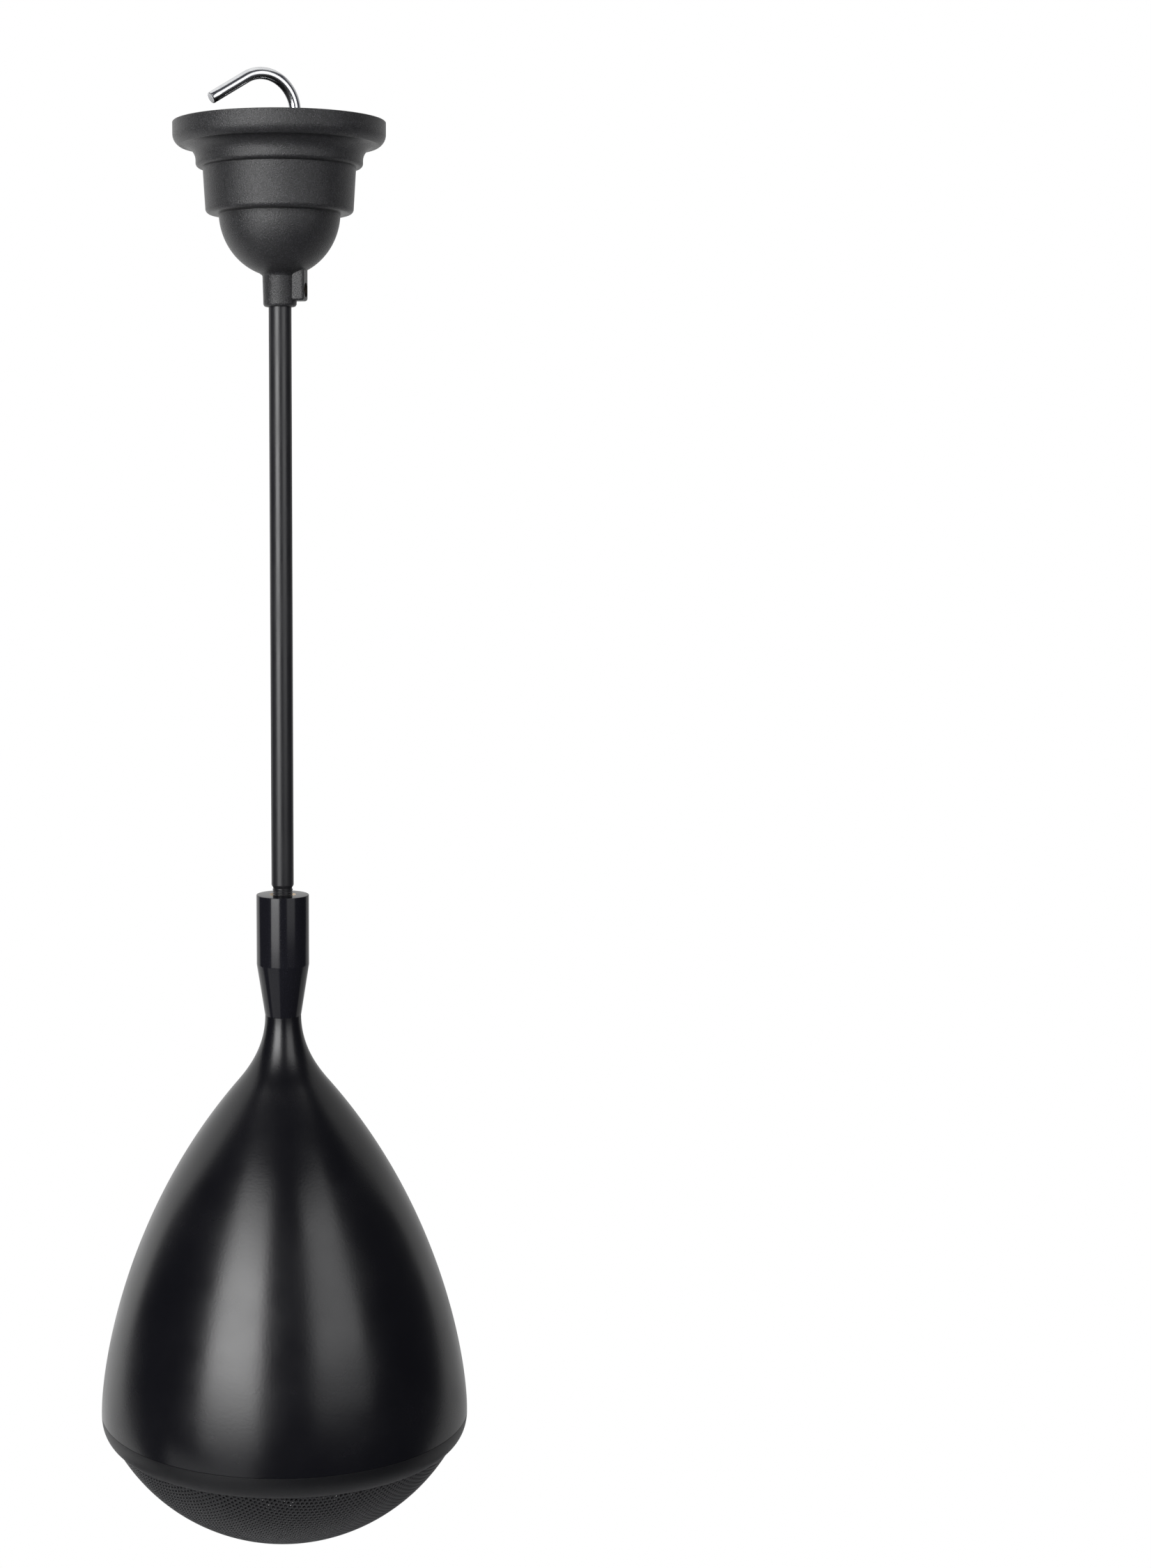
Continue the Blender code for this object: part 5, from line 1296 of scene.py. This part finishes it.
def make_floor():
    """Pale floor well below the speaker. It fades out before its edge and is clear from below."""
    finish = Finish("studio_floor")
    x_y = finish.node("VectorMath", {"operation": "MULTIPLY"},
                      {0: finish.coordinates(), 1: (1.0, 1.0, 0.0)})
    reach = finish.node("VectorMath", {"operation": "LENGTH"}, {0: x_y}, "Value")
    pale = finish.node("BsdfDiffuse", None, {"Color": FLOOR_TONE})
    clear = finish.node("BsdfTransparent")
    lit = finish.mix(finish.ray("Camera") * FLOOR_LIFT, pale, finish.glow(1.0))
    faded = finish.mix(finish.ramp(reach, (FLOOR_SOLID_R, 0.0), (FLOOR_FADE_R, 1.0)), lit, clear)
    from_above = finish.mix(finish.node("NewGeometry", out="Backfacing"), faded, clear)
    verts = [(x, y, FLOOR_Z) for x, y in circle(0, 0, FLOOR_FADE_R, ROUND)]
    floor = panel("floor", verts, [range(ROUND)], finish.show(from_above))


def make_backdrop():
    """White curved screen behind the speaker, which the sides of the housing reflect."""
    verts = []
    for z, spread in BACKDROP_LEVELS:
        for i in range(BACKDROP_STEPS + 1):
            turn = AWAY + spread * (i / (BACKDROP_STEPS / 2) - 1)
            verts.append((*polar(BACKDROP_R, turn), z))
    row = BACKDROP_STEPS + 1
    faces = [(base + i, base + i + 1, base + i + 1 + row, base + i + row)
             for base in range(0, row * (len(BACKDROP_LEVELS) - 1), row) for i in range(BACKDROP_STEPS)]
    backdrop = panel("backdrop", verts, faces, studio_white("studio_backdrop", *BACKDROP_GLOW))
    make_ceiling()


def make_ceiling():
    """Pale panel overhead, which the top of the hook reflects. Its front edge leaves a dark gap."""
    half = CEILING_W / 2
    corners = [(-CEILING_FRONT, -half), (CEILING_BACK, -half), (CEILING_BACK, half), (-CEILING_FRONT, half)]
    verts = [spin(AWAY) @ Vector((x, y, CEILING_Z)) for x, y in corners]
    return panel("ceiling", verts, [range(4)], studio_white("studio_ceiling", *CEILING_GLOW))


def softbox(name, turn, distance, width, low, high, radiance):
    """Upright lamp at an angle to the right of the camera, seen from the stem, and turned to it."""
    lamp = bpy.data.lights.new(name, "AREA")
    lamp.shape = "RECTANGLE"
    lamp.size = width
    lamp.size_y = high - low
    lamp.energy = radiance * pi * width * (high - low)
    obj = placed(name, lamp)
    obj.visible_camera = False
    place = Vector((*polar(distance, CAMERA_AZIMUTH + turn), (low + high) / 2))
    obj.location = place
    obj.rotation_euler = (Vector((0, 0, place.z)) - place).to_track_quat("-Z", "Y").to_euler()


def make_lights():
    """Two tall softboxes, each brighter towards its middle, a pale table, and a dim sky.

    The camera sees the sky white."""
    for row in SOFTBOXES:
        softbox(*row)
    world = Finish("studio", bpy.data.worlds)
    bpy.context.scene.world = world.owner
    dim, white = (world.node("Background", None, {"Color": colour}) for colour in (DIM_SKY, WHITE))
    world.show(world.mix(world.ray("Camera"), dim, white), "World Output")


def make_camera():
    camera = bpy.data.cameras.new("camera")
    camera.lens = LENS
    camera.shift_x = FRAMING_SHIFT / IMAGE_H
    camera.clip_start = 0.05
    camera.clip_end = 50.0
    obj = placed("camera", camera)
    obj.location = (*polar(CAMERA_DISTANCE, CAMERA_AZIMUTH), CAMERA_Z)
    obj.rotation_euler = (radians(90 - CAMERA_PITCH), 0, radians(SIDEWAYS - CAMERA_YAW))
    bpy.context.scene.camera = obj


make_camera()
make_lights()
make_floor()
make_backdrop()
dress_carried_nodes()
make_hanger()
make_stem()
make_canopy()
make_neck_connector()
make_housing()
make_ring()
make_grille()
make_cone()
make_surround()
make_spider()
make_screws()
make_basket()
make_tweeter()

bpy.context.scene.view_settings.view_transform = "Standard"
bpy.context.view_layer.update()
